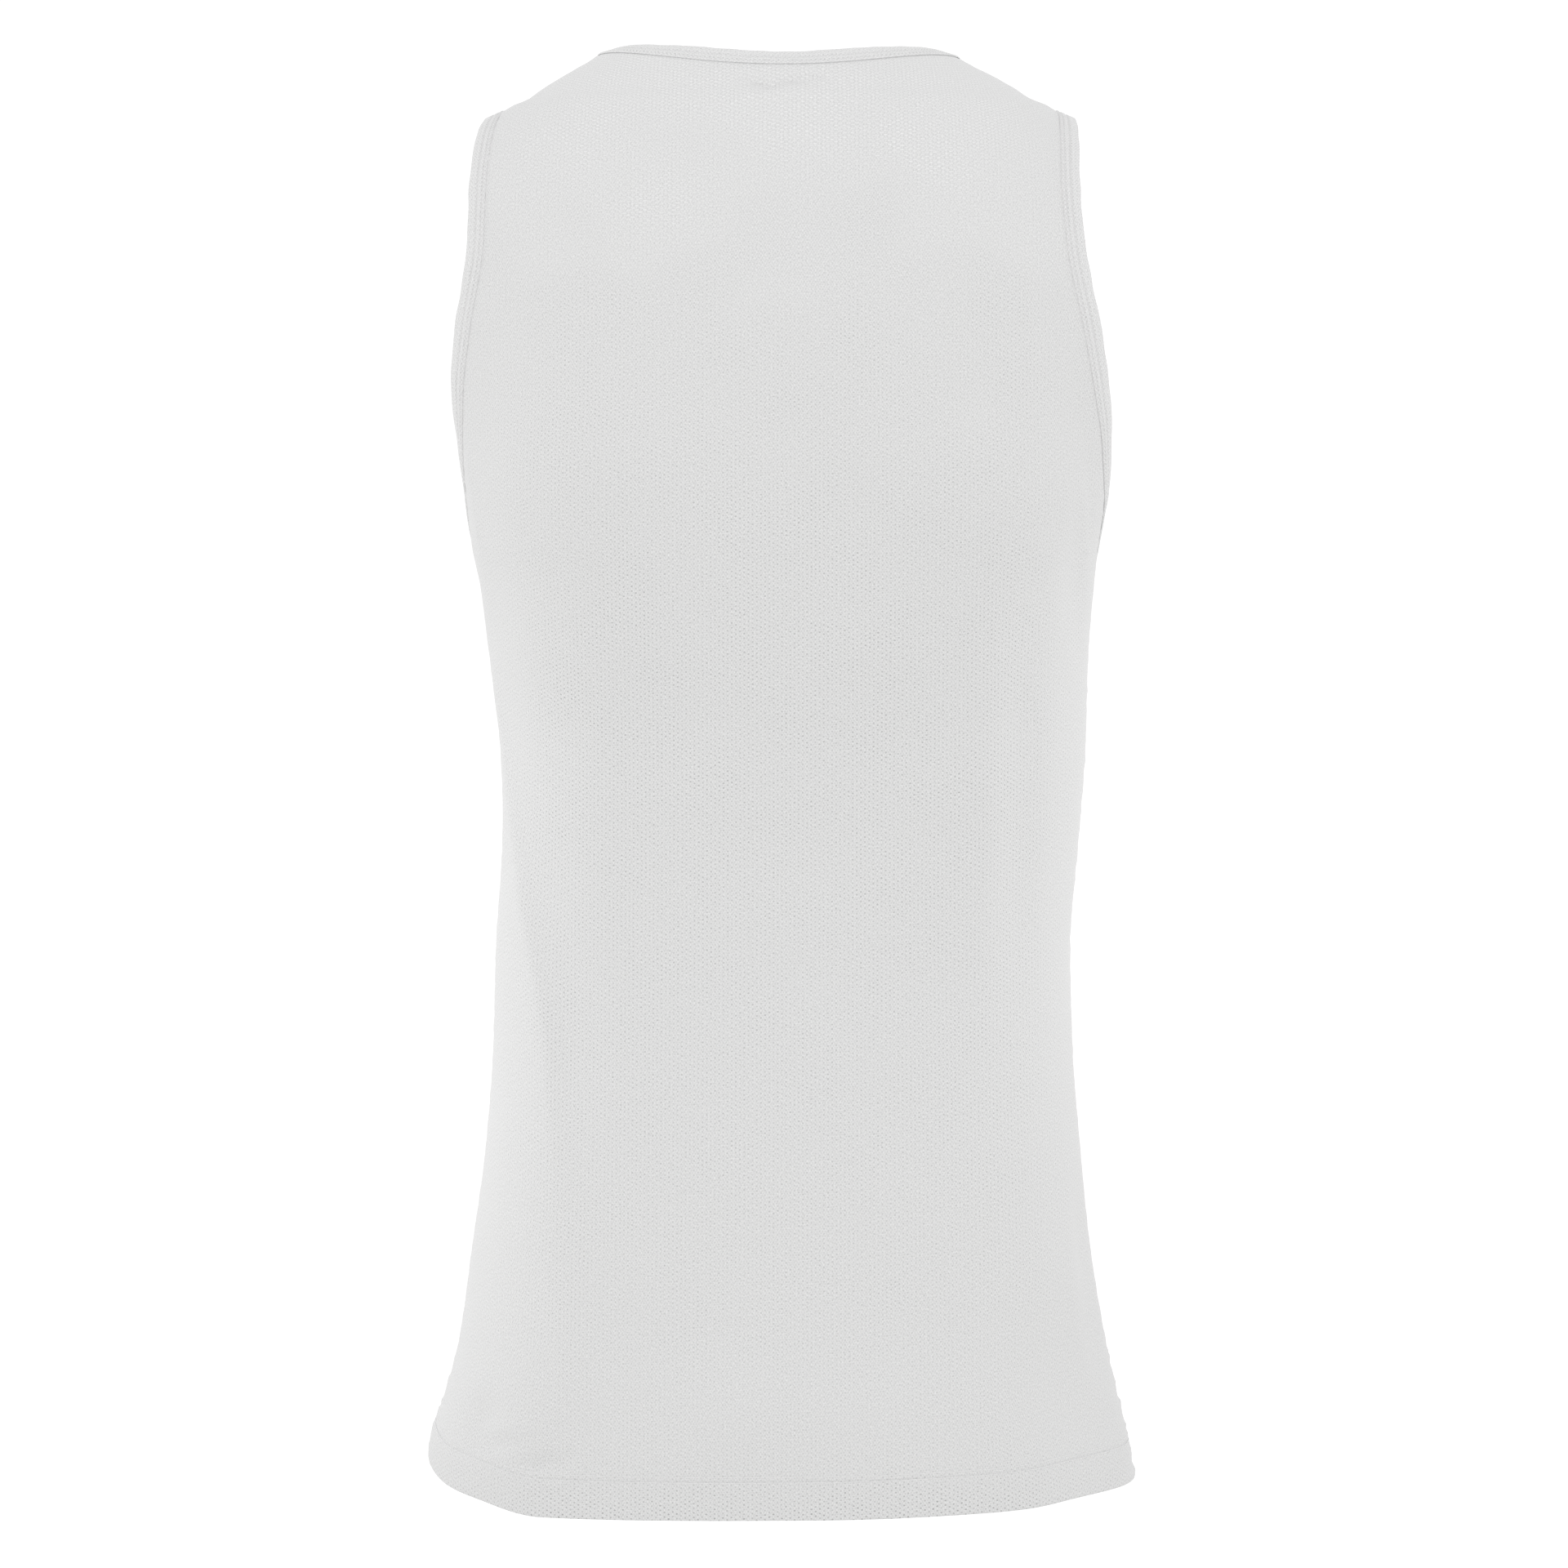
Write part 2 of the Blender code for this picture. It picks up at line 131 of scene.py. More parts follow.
# Sections of the worn cloth, from the hem up to the neck, in mm. Left, right: the cut edge's distance
# from the middle. Inset: how much deeper the front is cut. Back, front: depths from the shoulder line.
# Square: 2 is an ellipse, and more is flatter at the back and the sides.
Section = namedtuple("Section", "level left right inset back front square")
SECTIONS = (
    Section(-800, 195.0, 195.0, 0, 115, 114, 2.80),
    Section(-775, 193.5, 191.5, 0, 120, 116, 2.80),
    Section(-752, 191.8, 187.6, 0, 123, 117, 2.78),
    Section(-726, 183.6, 181.3, 0, 124, 116, 2.75),
    Section(-699, 176.4, 175.2, 0, 122, 114, 2.70),
    Section(-646, 169.0, 166.0, 0, 117, 112, 2.65),
    Section(-593, 161.8, 160.6, 0, 109, 110, 2.60),
    Section(-539, 157.8, 156.6, 0, 99, 108, 2.50),
    Section(-486, 156.3, 155.5, 0, 91, 106, 2.45),
    Section(-433, 152.3, 159.6, 0, 88, 105, 2.45),
    Section(-406, 151.4, 161.9, 0, 90, 106, 2.45),
    Section(-379, 152.2, 163.8, 0, 92, 108, 2.45),
    Section(-326, 160.0, 165.2, 0, 102, 113, 2.60),
    Section(-290, 164.4, 167.7, 0, 109, 116, 2.80),
    Section(-268, 168.8, 169.7, 0, 113, 118, 2.95),
    Section(-245, 171.0, 172.2, 2, 116, 120, 3.00),
    Section(-222, 172.2, 171.0, 5, 118, 121, 2.80),
    Section(-190, 171.8, 166.0, 10, 118, 121, 2.25),
    Section(-157, 168.0, 159.8, 14, 117, 118, 2.08),
    Section(-110, 160.6, 150.6, 16, 111, 108, 2.05),
    Section(-75, 159.4, 148.2, 12, 102, 95, 2.05),
    Section(-50, 157.1, 148.6, 5, 92, 81, 2.08),
    Section(-38, 154.5, 148.8, 2, 86, 72, 2.12),
    Section(-32, 152.0, 147.6, 0, 83, 68, 2.15),
    Section(-27, 141.2, 136.2, 0, 79, 63, 2.14),
    Section(-20, 131.2, 125.4, 0, 75, 58, 2.12),
    Section(-14, 121.6, 115.0, 0, 71, 53, 2.10),
    Section(-8, 111.0, 103.0, 0, 68, 49, 2.14),
    Section(-2, 101.0, 92.4, 0, 64, 44, 2.20),
    Section(8, 83.0, 78.0, 0, 58, 38, 2.20),
)

# Long soft folds. Top, bottom: levels of their ends, in mm. Around: degrees from the wearer's left side
# seam over the back, at the top and the bottom. Width: degrees. Height: mm, and below 0 for a trough.
Fold = namedtuple("Fold", "top bottom around_top around_bottom width height")
FOLDS = (
    # the back, as the cloth falls from the blades to the waist and over the hips
    Fold(-600, -735, 163, 166, 7, -3.4),
    Fold(-170, -560, 104, 122, 8, -2.2),
    Fold(-120, -430, 96, 112, 8, 1.8),
    Fold(-250, -520, 136, 140, 7, -2.4),
    Fold(-280, -560, 124, 128, 7, 1.8),
    Fold(-20, -260, 88, 90, 9, 1.6),
    Fold(-205, -330, 150, 158, 8, -3.0),
    Fold(-640, -900, 143, 150, 20, -11.0),
    Fold(-640, -900, 112, 112, 14, 2.2),
    Fold(-690, -880, 58, 54, 16, -3.5),
    Fold(-680, -860, 96, 98, 10, 3.0),
    # the front, as it hangs from the chest
    Fold(-240, -620, 338, 322, 9, -4.0),
    Fold(-260, -640, 326, 309, 8, 3.0),
    Fold(-250, -600, 204, 221, 9, -3.6),
    Fold(-280, -650, 215, 234, 8, 2.8),
    Fold(-420, -900, 292, 297, 9, 4.2),
    Fold(-440, -900, 279, 281, 9, -3.4),
    Fold(-450, -900, 246, 241, 9, 4.0),
    Fold(-400, -860, 262, 259, 8, -3.0),
    Fold(-560, -900, 326, 330, 9, -3.0),
)
FOLD_ENDS = 3  # a fold grows over one third of its length at each end

# Short creases and puckers. Across: mm from the panel's centre, above 0 towards the wearer's left. Up:
# mm above the hem. Length, width: mm to where it has mostly faded. Lean: degrees that its length rises
# from level, towards the wearer's right. Height: mm, and below 0 for a trough. Roundness: 2 for a soft
# top, and nearer 1 for one that is pressed to an edge.
Crease = namedtuple("Crease", "across up length width lean height roundness", defaults=(2,))
BACK_CREASES = (
    Crease(13, 772, 10, 2.1, -25, -2.4, 1.5),
    Crease(-7, 773, 17, 2.1, 18, -2.6, 1.5),
    Crease(0, 764, 24, 5, 3, 1.2),
    Crease(155, 34, 20, 4.2, 22, -3.8, 1.6),
    Crease(146, 40, 18, 5.0, 20, 2.0),
    Crease(130, 27.5, 13, 4.0, 10, -3.0, 1.6),
    Crease(170, 41, 15, 12, 40, -4.6),
    Crease(196, 48, 13, 5, -30, -1.0),
    Crease(30, 54, 26, 20, 60, 1.8),
)

# Long edges into which the cloth bends, as places on the flat back from the lower end to the upper one.
# Up, across: mm, as for a crease. Height: mm by which the cloth is lifted there.
Bend = namedtuple("Bend", "up across height")
WAIST_BEND = (
    Bend(110, 123, 0.0),
    Bend(179, 125, 1.2),
    Bend(217, 128, 2.6),
    Bend(262, 133, 3.8),
    Bend(286, 139, 4.4),
    Bend(316, 148, 4.8),
    Bend(340, 154, 4.8),
    Bend(372, 165, 4.4),
    Bend(402, 176, 3.2),
    Bend(432, 188, 0.0),
)
LEFT_ARM_BEND = (
    Bend(450, 187, 0.0),
    Bend(505, 185, 1.3),
    Bend(541, 188, 1.7),
    Bend(570, 191, 1.0),
    Bend(600, 194, 0.0),
)
RIGHT_ARM_BEND = (
    Bend(440, -190, 0.0),
    Bend(493, -187, 1.2),
    Bend(528, -176, 1.2),
    Bend(560, -170, 0.0),
)
RIGHT_ARM_SHADE = (
    Bend(500, -190, 0.0),
    Bend(538, -182, -1.6),
    Bend(582, -168, -2.4),
    Bend(613, -160, -1.6),
    Bend(650, -150, 0.0),
)
# Each bend, with mm to where its lift has mostly faded, towards the wearer's left and right
BACK_BENDS = (
    (WAIST_BEND, 22, 11),
    (LEFT_ARM_BEND, 10, 8),
    (RIGHT_ARM_BEND, 8, 9),
    (RIGHT_ARM_SHADE, 7, 10),
)
BEND_POWER = 1.1  # near 1 for a sharp edge, and 2 for a soft one

# Rows and columns of quads over a panel
COLUMNS = 136
EDGE_STEPS = (0, 0.6, 1.3, 2.2, 3.4, 5.0, 7.2)  # mm, the first columns from a sewn edge
FULL_ROW = 200  # mm, and on a shorter row those columns stand closer together
ROWS_BELOW_UNDERARM = 138
ROWS_AT_ARMHOLE = 90
ROWS_AT_SHOULDER = 24
HEM_ROWS = (
    0, 0.5, 1.2, 2.4, 4.4, 7.2, 10.2, 13.2, 15.8, 17.6, 18.7, 19.4, 19.8, 20.2, 20.6, 21.1, 21.7, 22.4, 22.7,
    23.1, 23.5, 24.2, 25.6,
)
BACK_ROW_DIPS = (0, 22)  # mm that the rows at the underarms and at the shoulder tips dip in the middle
FRONT_ROW_DIPS = (60, 108)
ROW_DIP_POWER = 3.5  # above 1, so that a row stays level near the sides
DENSE = 401  # places along a row, before the columns are spaced on it

# The grid on which lengths along the cloth are measured
MAP_QUARTER = 120  # steps from a side to the centre
MAP_CROWD = 1.4  # above 1, so that the steps are shorter at both ends
MAP_LOW, MAP_HIGH, MAP_STEP = -800, 9, 2  # mm


def smooth_curve(rows, along, column):
    """A function through one column of a table against another, without overshoot between its rows."""
    x = np.array([getattr(row, along) for row in rows], float)
    y = np.array([getattr(row, column) for row in rows], float)
    step = np.diff(x)
    rise = np.diff(y) / step
    slope = np.empty_like(y)
    slope[0], slope[-1] = rise[0], rise[-1]
    for i in range(1, len(y) - 1):
        if rise[i - 1] * rise[i] <= 0:
            slope[i] = 0
            continue
        before, after = 2 * step[i] + step[i - 1], step[i] + 2 * step[i - 1]
        slope[i] = (before + after) / (before / rise[i - 1] + after / rise[i])

    def value(at):
        i = np.clip(np.searchsorted(x, at) - 1, 0, len(step) - 1)
        t = (at - x[i]) / step[i]
        return (
            y[i] * (1 + 2 * t) * (1 - t) ** 2
            + y[i + 1] * (3 - 2 * t) * t**2
            + step[i] * (slope[i] * t * (1 - t) ** 2 + slope[i + 1] * t**2 * (t - 1))
        )

    return value


SECTION_AT = {name: smooth_curve(SECTIONS, "level", name) for name in Section._fields[1:]}
HEM_AT = smooth_curve(HEM, "around", "level")


def eased(share):
    """A share from 0 to 1, with a soft start and a soft end."""
    share = np.clip(share, 0.0, 1.0)
    return share * share * (3 - 2 * share)


def unit(vectors):
    """The same directions, at length 1."""
    return vectors / np.linalg.norm(vectors, axis=-1, keepdims=True)


def run_along(points, axis=0):
    """How far along its line each point lies, where the lines follow one axis of the points' grid."""
    run = np.linalg.norm(np.diff(points, axis=axis), axis=-1).cumsum(axis=axis)
    return np.insert(run, 0, 0, axis=axis)


def fold_lift(around, level):
    """How far the long folds lift the cloth at each place, in mm."""
    lift = np.zeros(np.broadcast(around, level).shape)
    for fold in FOLDS:
        share = (fold.top - level) / (fold.top - fold.bottom)
        centre = fold.around_top + (fold.around_bottom - fold.around_top) * share
        off = (around - centre + 180) % 360 - 180
        fade = eased(share * FOLD_ENDS) * eased((1 - share) * FOLD_ENDS)
        lift = lift + fold.height * fade * np.exp(-((off / fold.width) ** 2))
    return lift


def cut_edge(side, wearer_left, level):
    """x and y, in mm, of a panel's cut edge at each level, where side is 1 on the back and -1 on the
    front. y is above 0 only where the edge goes round the armhole."""
    underarm = np.where(wearer_left, UNDERARM_LEFT, UNDERARM_RIGHT)
    share = np.clip((SHOULDER_TIP - level) / (SHOULDER_TIP - underarm), 0, 1)
    turn = np.arccos(1 - 2 * share)
    back_reach = np.where(wearer_left, ARMHOLE_BACK_REACH_LEFT, ARMHOLE_BACK_REACH_RIGHT)
    reach = back_reach if side > 0 else ARMHOLE_FRONT_REACH
    low = ARMHOLE_BACK_LOW if side > 0 else ARMHOLE_FRONT_LOW
    x = np.where(wearer_left, SECTION_AT["left"](level), SECTION_AT["right"](level))
    if side < 0:
        x = x - SECTION_AT["inset"](level)
    return x, reach * np.sin(turn) * (1 - low * np.cos(turn))


def ring(side, wearer_left, level):
    """Half width, depth and power of the ring on which the cloth lies at each level."""
    x, y = cut_edge(side, wearer_left, level)
    depth = SECTION_AT["back" if side > 0 else "front"](level)
    square = SECTION_AT["square"](level)
    return x / (1 - (y / depth) ** square) ** (1 / square), depth, 2 / square


def cloth_point(side, angle, level):
    """Points, in mm, of the worn cloth's outer face. The angle runs from 0 at the wearer's left to pi
    at the right."""
    cosine, sine = np.cos(angle), np.clip(np.sin(angle), 0, 1)
    half, depth, power = ring(side, cosine > 0, level)
    x = half * np.sign(cosine) * np.abs(cosine) ** power
    y = side * depth * sine**power
    lift = 1 + fold_lift(np.degrees(side * angle) % 360, level) / np.hypot(x, y)
    return np.stack([x * lift, y * lift + side * SEAM_HALF_GAP, level + 0 * x], -1)


def hem_level(side, angle):
    """The level of the panel's lower edge at each angle."""
    start = HEM[0].around
    return HEM_AT((side * np.degrees(angle) - start) % 360 + start)


def armhole_angle(side, wearer_left, level):
    """Where the armhole's edge cuts the ring at a level."""
    _, depth, power = ring(side, wearer_left, level)
    return float(np.arcsin((cut_edge(side, wearer_left, level)[1] / depth) ** (1 / power)))


def neck_places(side, turn):
    """Angles and levels on the neck's cut line, with turn from 0 at the left to pi at the right."""
    reach = np.where(np.cos(turn) > 0, NECK_HALF_LEFT, NECK_HALF_RIGHT)
    dip = np.sin(turn)
    level = NECK_SIDE - (BACK_NECK_DROP * dip**BACK_NECK_POWER if side > 0 else FRONT_NECK_DROP * dip)
    level = level - NECK_RIGHT_LOW * np.clip(-np.cos(turn), 0, 1) ** NECK_RIGHT_POWER
    half, _, power = ring(side, np.cos(turn) > 0, level)
    across = np.minimum(1, np.abs(np.cos(turn)) * reach / half) ** (1 / power)
    return np.arccos(np.sign(np.cos(turn)) * across), level


def spaced(side, angle, level):
    """A row's places spaced along the cloth: close together at its sewn ends and even between. The
    last result is each place's distance in mm from the nearer end."""
    run = run_along(cloth_point(side, angle, level))
    ends = np.array(EDGE_STEPS) * min(1, run[-1] / FULL_ROW)
    even = np.linspace(ends[-1], run[-1] - ends[-1], COLUMNS - 2 * len(ends) + 3)[1:-1]
    wanted = np.concatenate([ends, even, run[-1] - ends[::-1]])
    nearer = np.minimum(wanted, run[-1] - wanted)
    return np.interp(wanted, run, angle), np.interp(wanted, run, level), nearer


def row_across(left, right, dip, left_start=0.0, right_start=0.0):
    """A dense row from a level at the left edge to one at the right, dipping between."""
    left += dip * math.sin(left_start) ** ROW_DIP_POWER
    right += dip * math.sin(right_start) ** ROW_DIP_POWER
    share = np.linspace(0, 1, DENSE)
    angle = left_start + (math.pi - left_start - right_start) * share
    return angle, left + (right - left) * share - dip * np.abs(np.sin(angle)) ** ROW_DIP_POWER


def panel_places(side):
    """Angles, levels and distances from the sewn edge over a panel, in rows from the hem to the neck."""
    underarm_dip, tip_dip = BACK_ROW_DIPS if side > 0 else FRONT_ROW_DIPS
    angle, underarm = row_across(UNDERARM_LEFT, UNDERARM_RIGHT, underarm_dip)
    dense = [(angle, hem_level(side, angle) + above) for above in HEM_ROWS]
    first = dense[-1][1]
    for i in range(1, ROWS_BELOW_UNDERARM + 1):
        dense.append((angle, first + (underarm - first) * i / ROWS_BELOW_UNDERARM))
    for i in range(1, ROWS_AT_ARMHOLE + 1):
        share = (1 + math.cos(math.pi * i / ROWS_AT_ARMHOLE)) / 2
        left = SHOULDER_TIP + (UNDERARM_LEFT - SHOULDER_TIP) * share
        right = SHOULDER_TIP + (UNDERARM_RIGHT - SHOULDER_TIP) * share
        dip = tip_dip + (underarm_dip - tip_dip) * share
        starts = armhole_angle(side, True, left), armhole_angle(side, False, right)
        dense.append(row_across(left, right, dip, *starts))
    rows = [spaced(side, *row) for row in dense]
    tip = rows[-1]
    neck = spaced(side, *neck_places(side, np.linspace(0, math.pi, DENSE)))
    for i in range(1, ROWS_AT_SHOULDER + 1):
        share = math.sin(math.pi / 2 * i / ROWS_AT_SHOULDER)
        rows.append(tuple(a + (b - a) * share for a, b in zip(tip, neck)))
    return tuple(np.array(column) for column in zip(*rows))


def cloth_map(side, angle, level):
    """Where each place lies on the flat cloth, in mm: across from the centre line, above 0 towards the
    wearer's left, and up from the hem."""
    steps = np.linspace(0, 1, MAP_QUARTER + 1)
    quarter = steps**MAP_CROWD / (steps**MAP_CROWD + (1 - steps) ** MAP_CROWD) * math.pi / 2
    turns = np.concatenate([quarter, math.pi - quarter[-2::-1]])
    levels = np.arange(MAP_LOW, MAP_HIGH, MAP_STEP, float)
    rings = cloth_point(side, turns[None, :], levels[:, None])
    run = run_along(rings, 1)
    run = run[:, MAP_QUARTER, None] - run
    climb = run_along(rings)
    last = 1.001  # so that a place on the last line still has a line beyond it
    column = np.clip(np.interp(angle, turns, np.arange(len(turns))), 0, len(turns) - last)
    j = column.astype(int)
    b = column - j

    def at(lengths, height):
        row = np.clip((height - MAP_LOW) / MAP_STEP, 0, len(levels) - last)
        i = row.astype(int)
        a = row - i
        return (1 - a) * ((1 - b) * lengths[i, j] + b * lengths[i, j + 1]) + a * (
            (1 - b) * lengths[i + 1, j] + b * lengths[i + 1, j + 1]
        )

    return at(run, level), at(climb, level) - at(climb, hem_level(side, angle))


def facing(points):
    """Unit normals over a grid of points, on the side from which its rows run up and its columns run
    from left to right."""
    along, up = np.gradient(points, axis=1), np.gradient(points, axis=0)
    return unit(np.cross(along, up))


def unevenness(across, up, seed):
    """The waviness of the hanging knit, in mm: a few long waves with directions of their own."""
    chance = np.random.default_rng(seed)
    lift = 0
    for length in WAVES:
        turn, phase = chance.uniform(-WAVE_TURN, WAVE_TURN), chance.uniform(0, 2 * math.pi)
        way = across * math.cos(turn) + up * math.sin(turn) * WAVE_UPRIGHT
        lift = lift + WAVE_HEIGHT * length * np.sin(way * 2 * math.pi / length + phase)
    return lift


def gathered(run, away, gather, seed):
    """Puckers beside a line of stitches, in mm, fading away from it, each of its own strength."""
    chance = np.random.default_rng(seed)
    lift = 0
    for stretch in GATHER_STRETCHES:
        phase = chance.uniform(0, PHASE_RANGE)
        lift = lift + np.sin(run * 2 * math.pi / (gather.length * stretch) + phase)
    return gather.height / 2 * lift * np.exp(-np.abs(away) / gather.reach)


def groove_depth(groove, away):
    """The depth of a groove at each distance from the edge, in mm."""
    return groove.depth * np.exp(-(((away - groove.away) / groove.half) ** 2))


def crease_lift(crease, across, up):
    """How far a short crease lifts the cloth, in mm."""
    turn = math.radians(crease.lean)
    x, y = crease.across - across, up - crease.up
    along = x * math.cos(turn) + y * math.sin(turn)
    off = y * math.cos(turn) - x * math.sin(turn)
    across_it = np.abs(off / crease.width) ** crease.roundness
    return crease.height * np.exp(-((along / crease.length) ** 2) - across_it)


def bend_lift(bend, left_reach, right_reach, across, up):
    """How far a long edge lifts the cloth, in mm: most along its line, and falling off quickly there."""
    line = smooth_curve(bend, "up", "across")
    height = smooth_curve(bend, "up", "height")
    at = np.clip(up, bend[0].up, bend[-1].up)
    step = 2  # mm up and down, for its slant
    slant = (line(at + step) - line(at - step)) / (2 * step)
    off = (across - line(at)) / np.sqrt(1 + slant**2)
    away = np.abs(off) / np.where(off > 0, left_reach, right_reach)
    return height(at) * np.exp(-(away**BEND_POWER))


def panel_cloth(side, creases, bends, seed):
    """The finished outer face of a panel, in mm, with what the other pieces need to know of it."""
    angle, level, from_edge = panel_places(side)
    across, up = cloth_map(side, angle, level)
    points = cloth_point(side, angle, level)
    normals = facing(points) * side
    below_neck = run_along(points[::-1])[::-1]

    underarm_row = len(HEM_ROWS) - 1 + ROWS_BELOW_UNDERARM
    tip_row = underarm_row + ROWS_AT_ARMHOLE
    row = np.arange(len(points))[:, None]
    sewn = (row <= underarm_row) | (row >= tip_row)
    bound = ~sewn

    lift = unevenness(across, up, seed) * eased(from_edge / WAVES_FROM_SEAM)
    lift = lift * eased(below_neck / WAVES_FROM_NECK)
    lift = lift * (WAVES_AT_HEM + (1 - WAVES_AT_HEM) * eased(up / WAVES_FROM_HEM))
    for crease in creases:
        lift += crease_lift(crease, across, up) * eased(from_edge / CREASE_HELD)
    for bend, left_reach, right_reach in bends:
        lift += bend_lift(bend, left_reach, right_reach, across, up) * eased(from_edge / BEND_HELD)
    lift -= np.where(sewn, groove_depth(SEAM_GROOVE, from_edge), 0)
    lift -= np.where(bound, groove_depth(BINDING_DIP, from_edge), 0)
    lift -= groove_depth(BINDING_DIP, below_neck)
    tighter = 1 + TIGHTER * eased((TIGHTER_FROM - up) / TIGHTER_OVER)
    free = eased(from_edge / GATHER_HELD)
    lift += np.where(sewn, gathered(up, from_edge, SIDE_GATHER, seed + 1), 0) * free * tighter
    lift += np.where(bound, gathered(up, from_edge, ARMHOLE_GATHER, seed + 2), 0) * free
    lift += gathered(across, below_neck, NECK_GATHER, seed + 3) * eased(below_neck / GATHER_HELD)
    for groove in HEM_GROOVES:
        lift -= groove_depth(groove, up)
    lift += HEM_STEP * (1 - eased((up - HEM_STEP_FROM) / HEM_STEP_SLOPE))
    lift += gathered(across, up - HEM_GATHER_AT, HEM_GATHER, seed + 4)
    points = points + normals * lift[..., None]
    return dict(
        side=side, angle=angle, level=level, across=across, up=up, points=points, normals=normals,
        underarm_row=underarm_row, tip_row=tip_row,
    )


def srgb(code):
    """Linear RGBA of an sRGB hex colour."""
    parts = [int(code[i : i + 2], 16) / 255 for i in (1, 3, 5)]
    return (*(p / 12.92 if p <= 0.04045 else ((p + 0.055) / 1.055) ** 2.4 for p in parts), 1.0)


def add_node(tree, kind, inputs=None, **settings):
    """A shader node with its settings. Each input is a value, a socket, or a node, whose first output
    that is in use is linked."""
    made = tree.nodes.new("ShaderNode" + kind)
    for name, value in settings.items():
        setattr(made, name, value)
    for name, value in (inputs or {}).items():
        if isinstance(value, bpy.types.Node):
            value = next(output for output in value.outputs if output.enabled)
        if isinstance(value, bpy.types.NodeSocket):
            tree.links.new(value, made.inputs[name])
        else:
            made.inputs[name].default_value = value
    return made


# A Mix node's inputs for its factor and its two colours, and its output for the colour
FACTOR, COLOUR_A, COLOUR_B, COLOUR_OUT = 0, 6, 7, 2

# The net of pinholes, read near the hem, where the photograph shows it best
NET_COLUMN = 2.2  # mm from one column to the next
NET_PITCH = 2.5  # mm from one pinhole to the next in its column
NET_ASKEW = 0.56  # share of the pitch by which each column stands above the one before
ACROSS_SHARE, UP_SHARE = 0.75, 1.1  # how a distance counts across and up: the pinholes are a little wide
RIM_OUTSIDE, RIM_INSIDE = 0.7, 0.3  # shares of a pinhole's size between which its rim is soft
LEAST_OPEN, CHANCE_OPEN = 0.29, 0.33  # the least that a pinhole is open, and the most that chance adds
CHANCE_POWER = 2.0  # above 1, so that few are wide

# Patches of cloth that are stretched more, with wider pinholes, and painted light at the side seams,
# where the pinholes are drawn less open as the side light washes them out
PATCH = 34  # mm
PATCH_LOW, PATCH_HIGH = 0.38, 0.66  # values of the noise between which a patch goes from slack to taut
WASHED_OUT_FROM, WASHED_OUT_TO = 124.0, 158.0  # mm from the centre line
WASHED_OUT_OPEN = 0.5  # share of the opening that is left at the seams

# The yarn. Its unevenness is drawn coarser than the real loops, so that it shows.
FILAMENT = 1.0  # mm
FILAMENT_GAIN, FILAMENT_OFFSET = 1.7, -0.35
LOOP_RISE = 0.09  # share by which the slanted loops stand out
YARN_BUMP = 0.5  # share of the pinholes' depth
DENSITY = 70  # mm, slow changes in how dense the knit is
DENSITY_LOW, DENSITY_HIGH = 0.3, 0.7  # values between which most of that noise lies
DENSITY_SHARE = 0.005  # by which it changes the tone

# The light behind the pinholes
KNIT_TOP = 800  # mm above the hem, where the ramp of their colours ends
LIGHT_PATCH = 60  # mm, patches in which a pinhole looks as others do a little higher or lower
WAVER = 0.3  # how much higher or lower that is, as a share of KNIT_TOP for the noise's whole range
WAVER_FROM, WAVER_TO = 0.3, 0.7  # shares of KNIT_TOP between which it grows from nothing


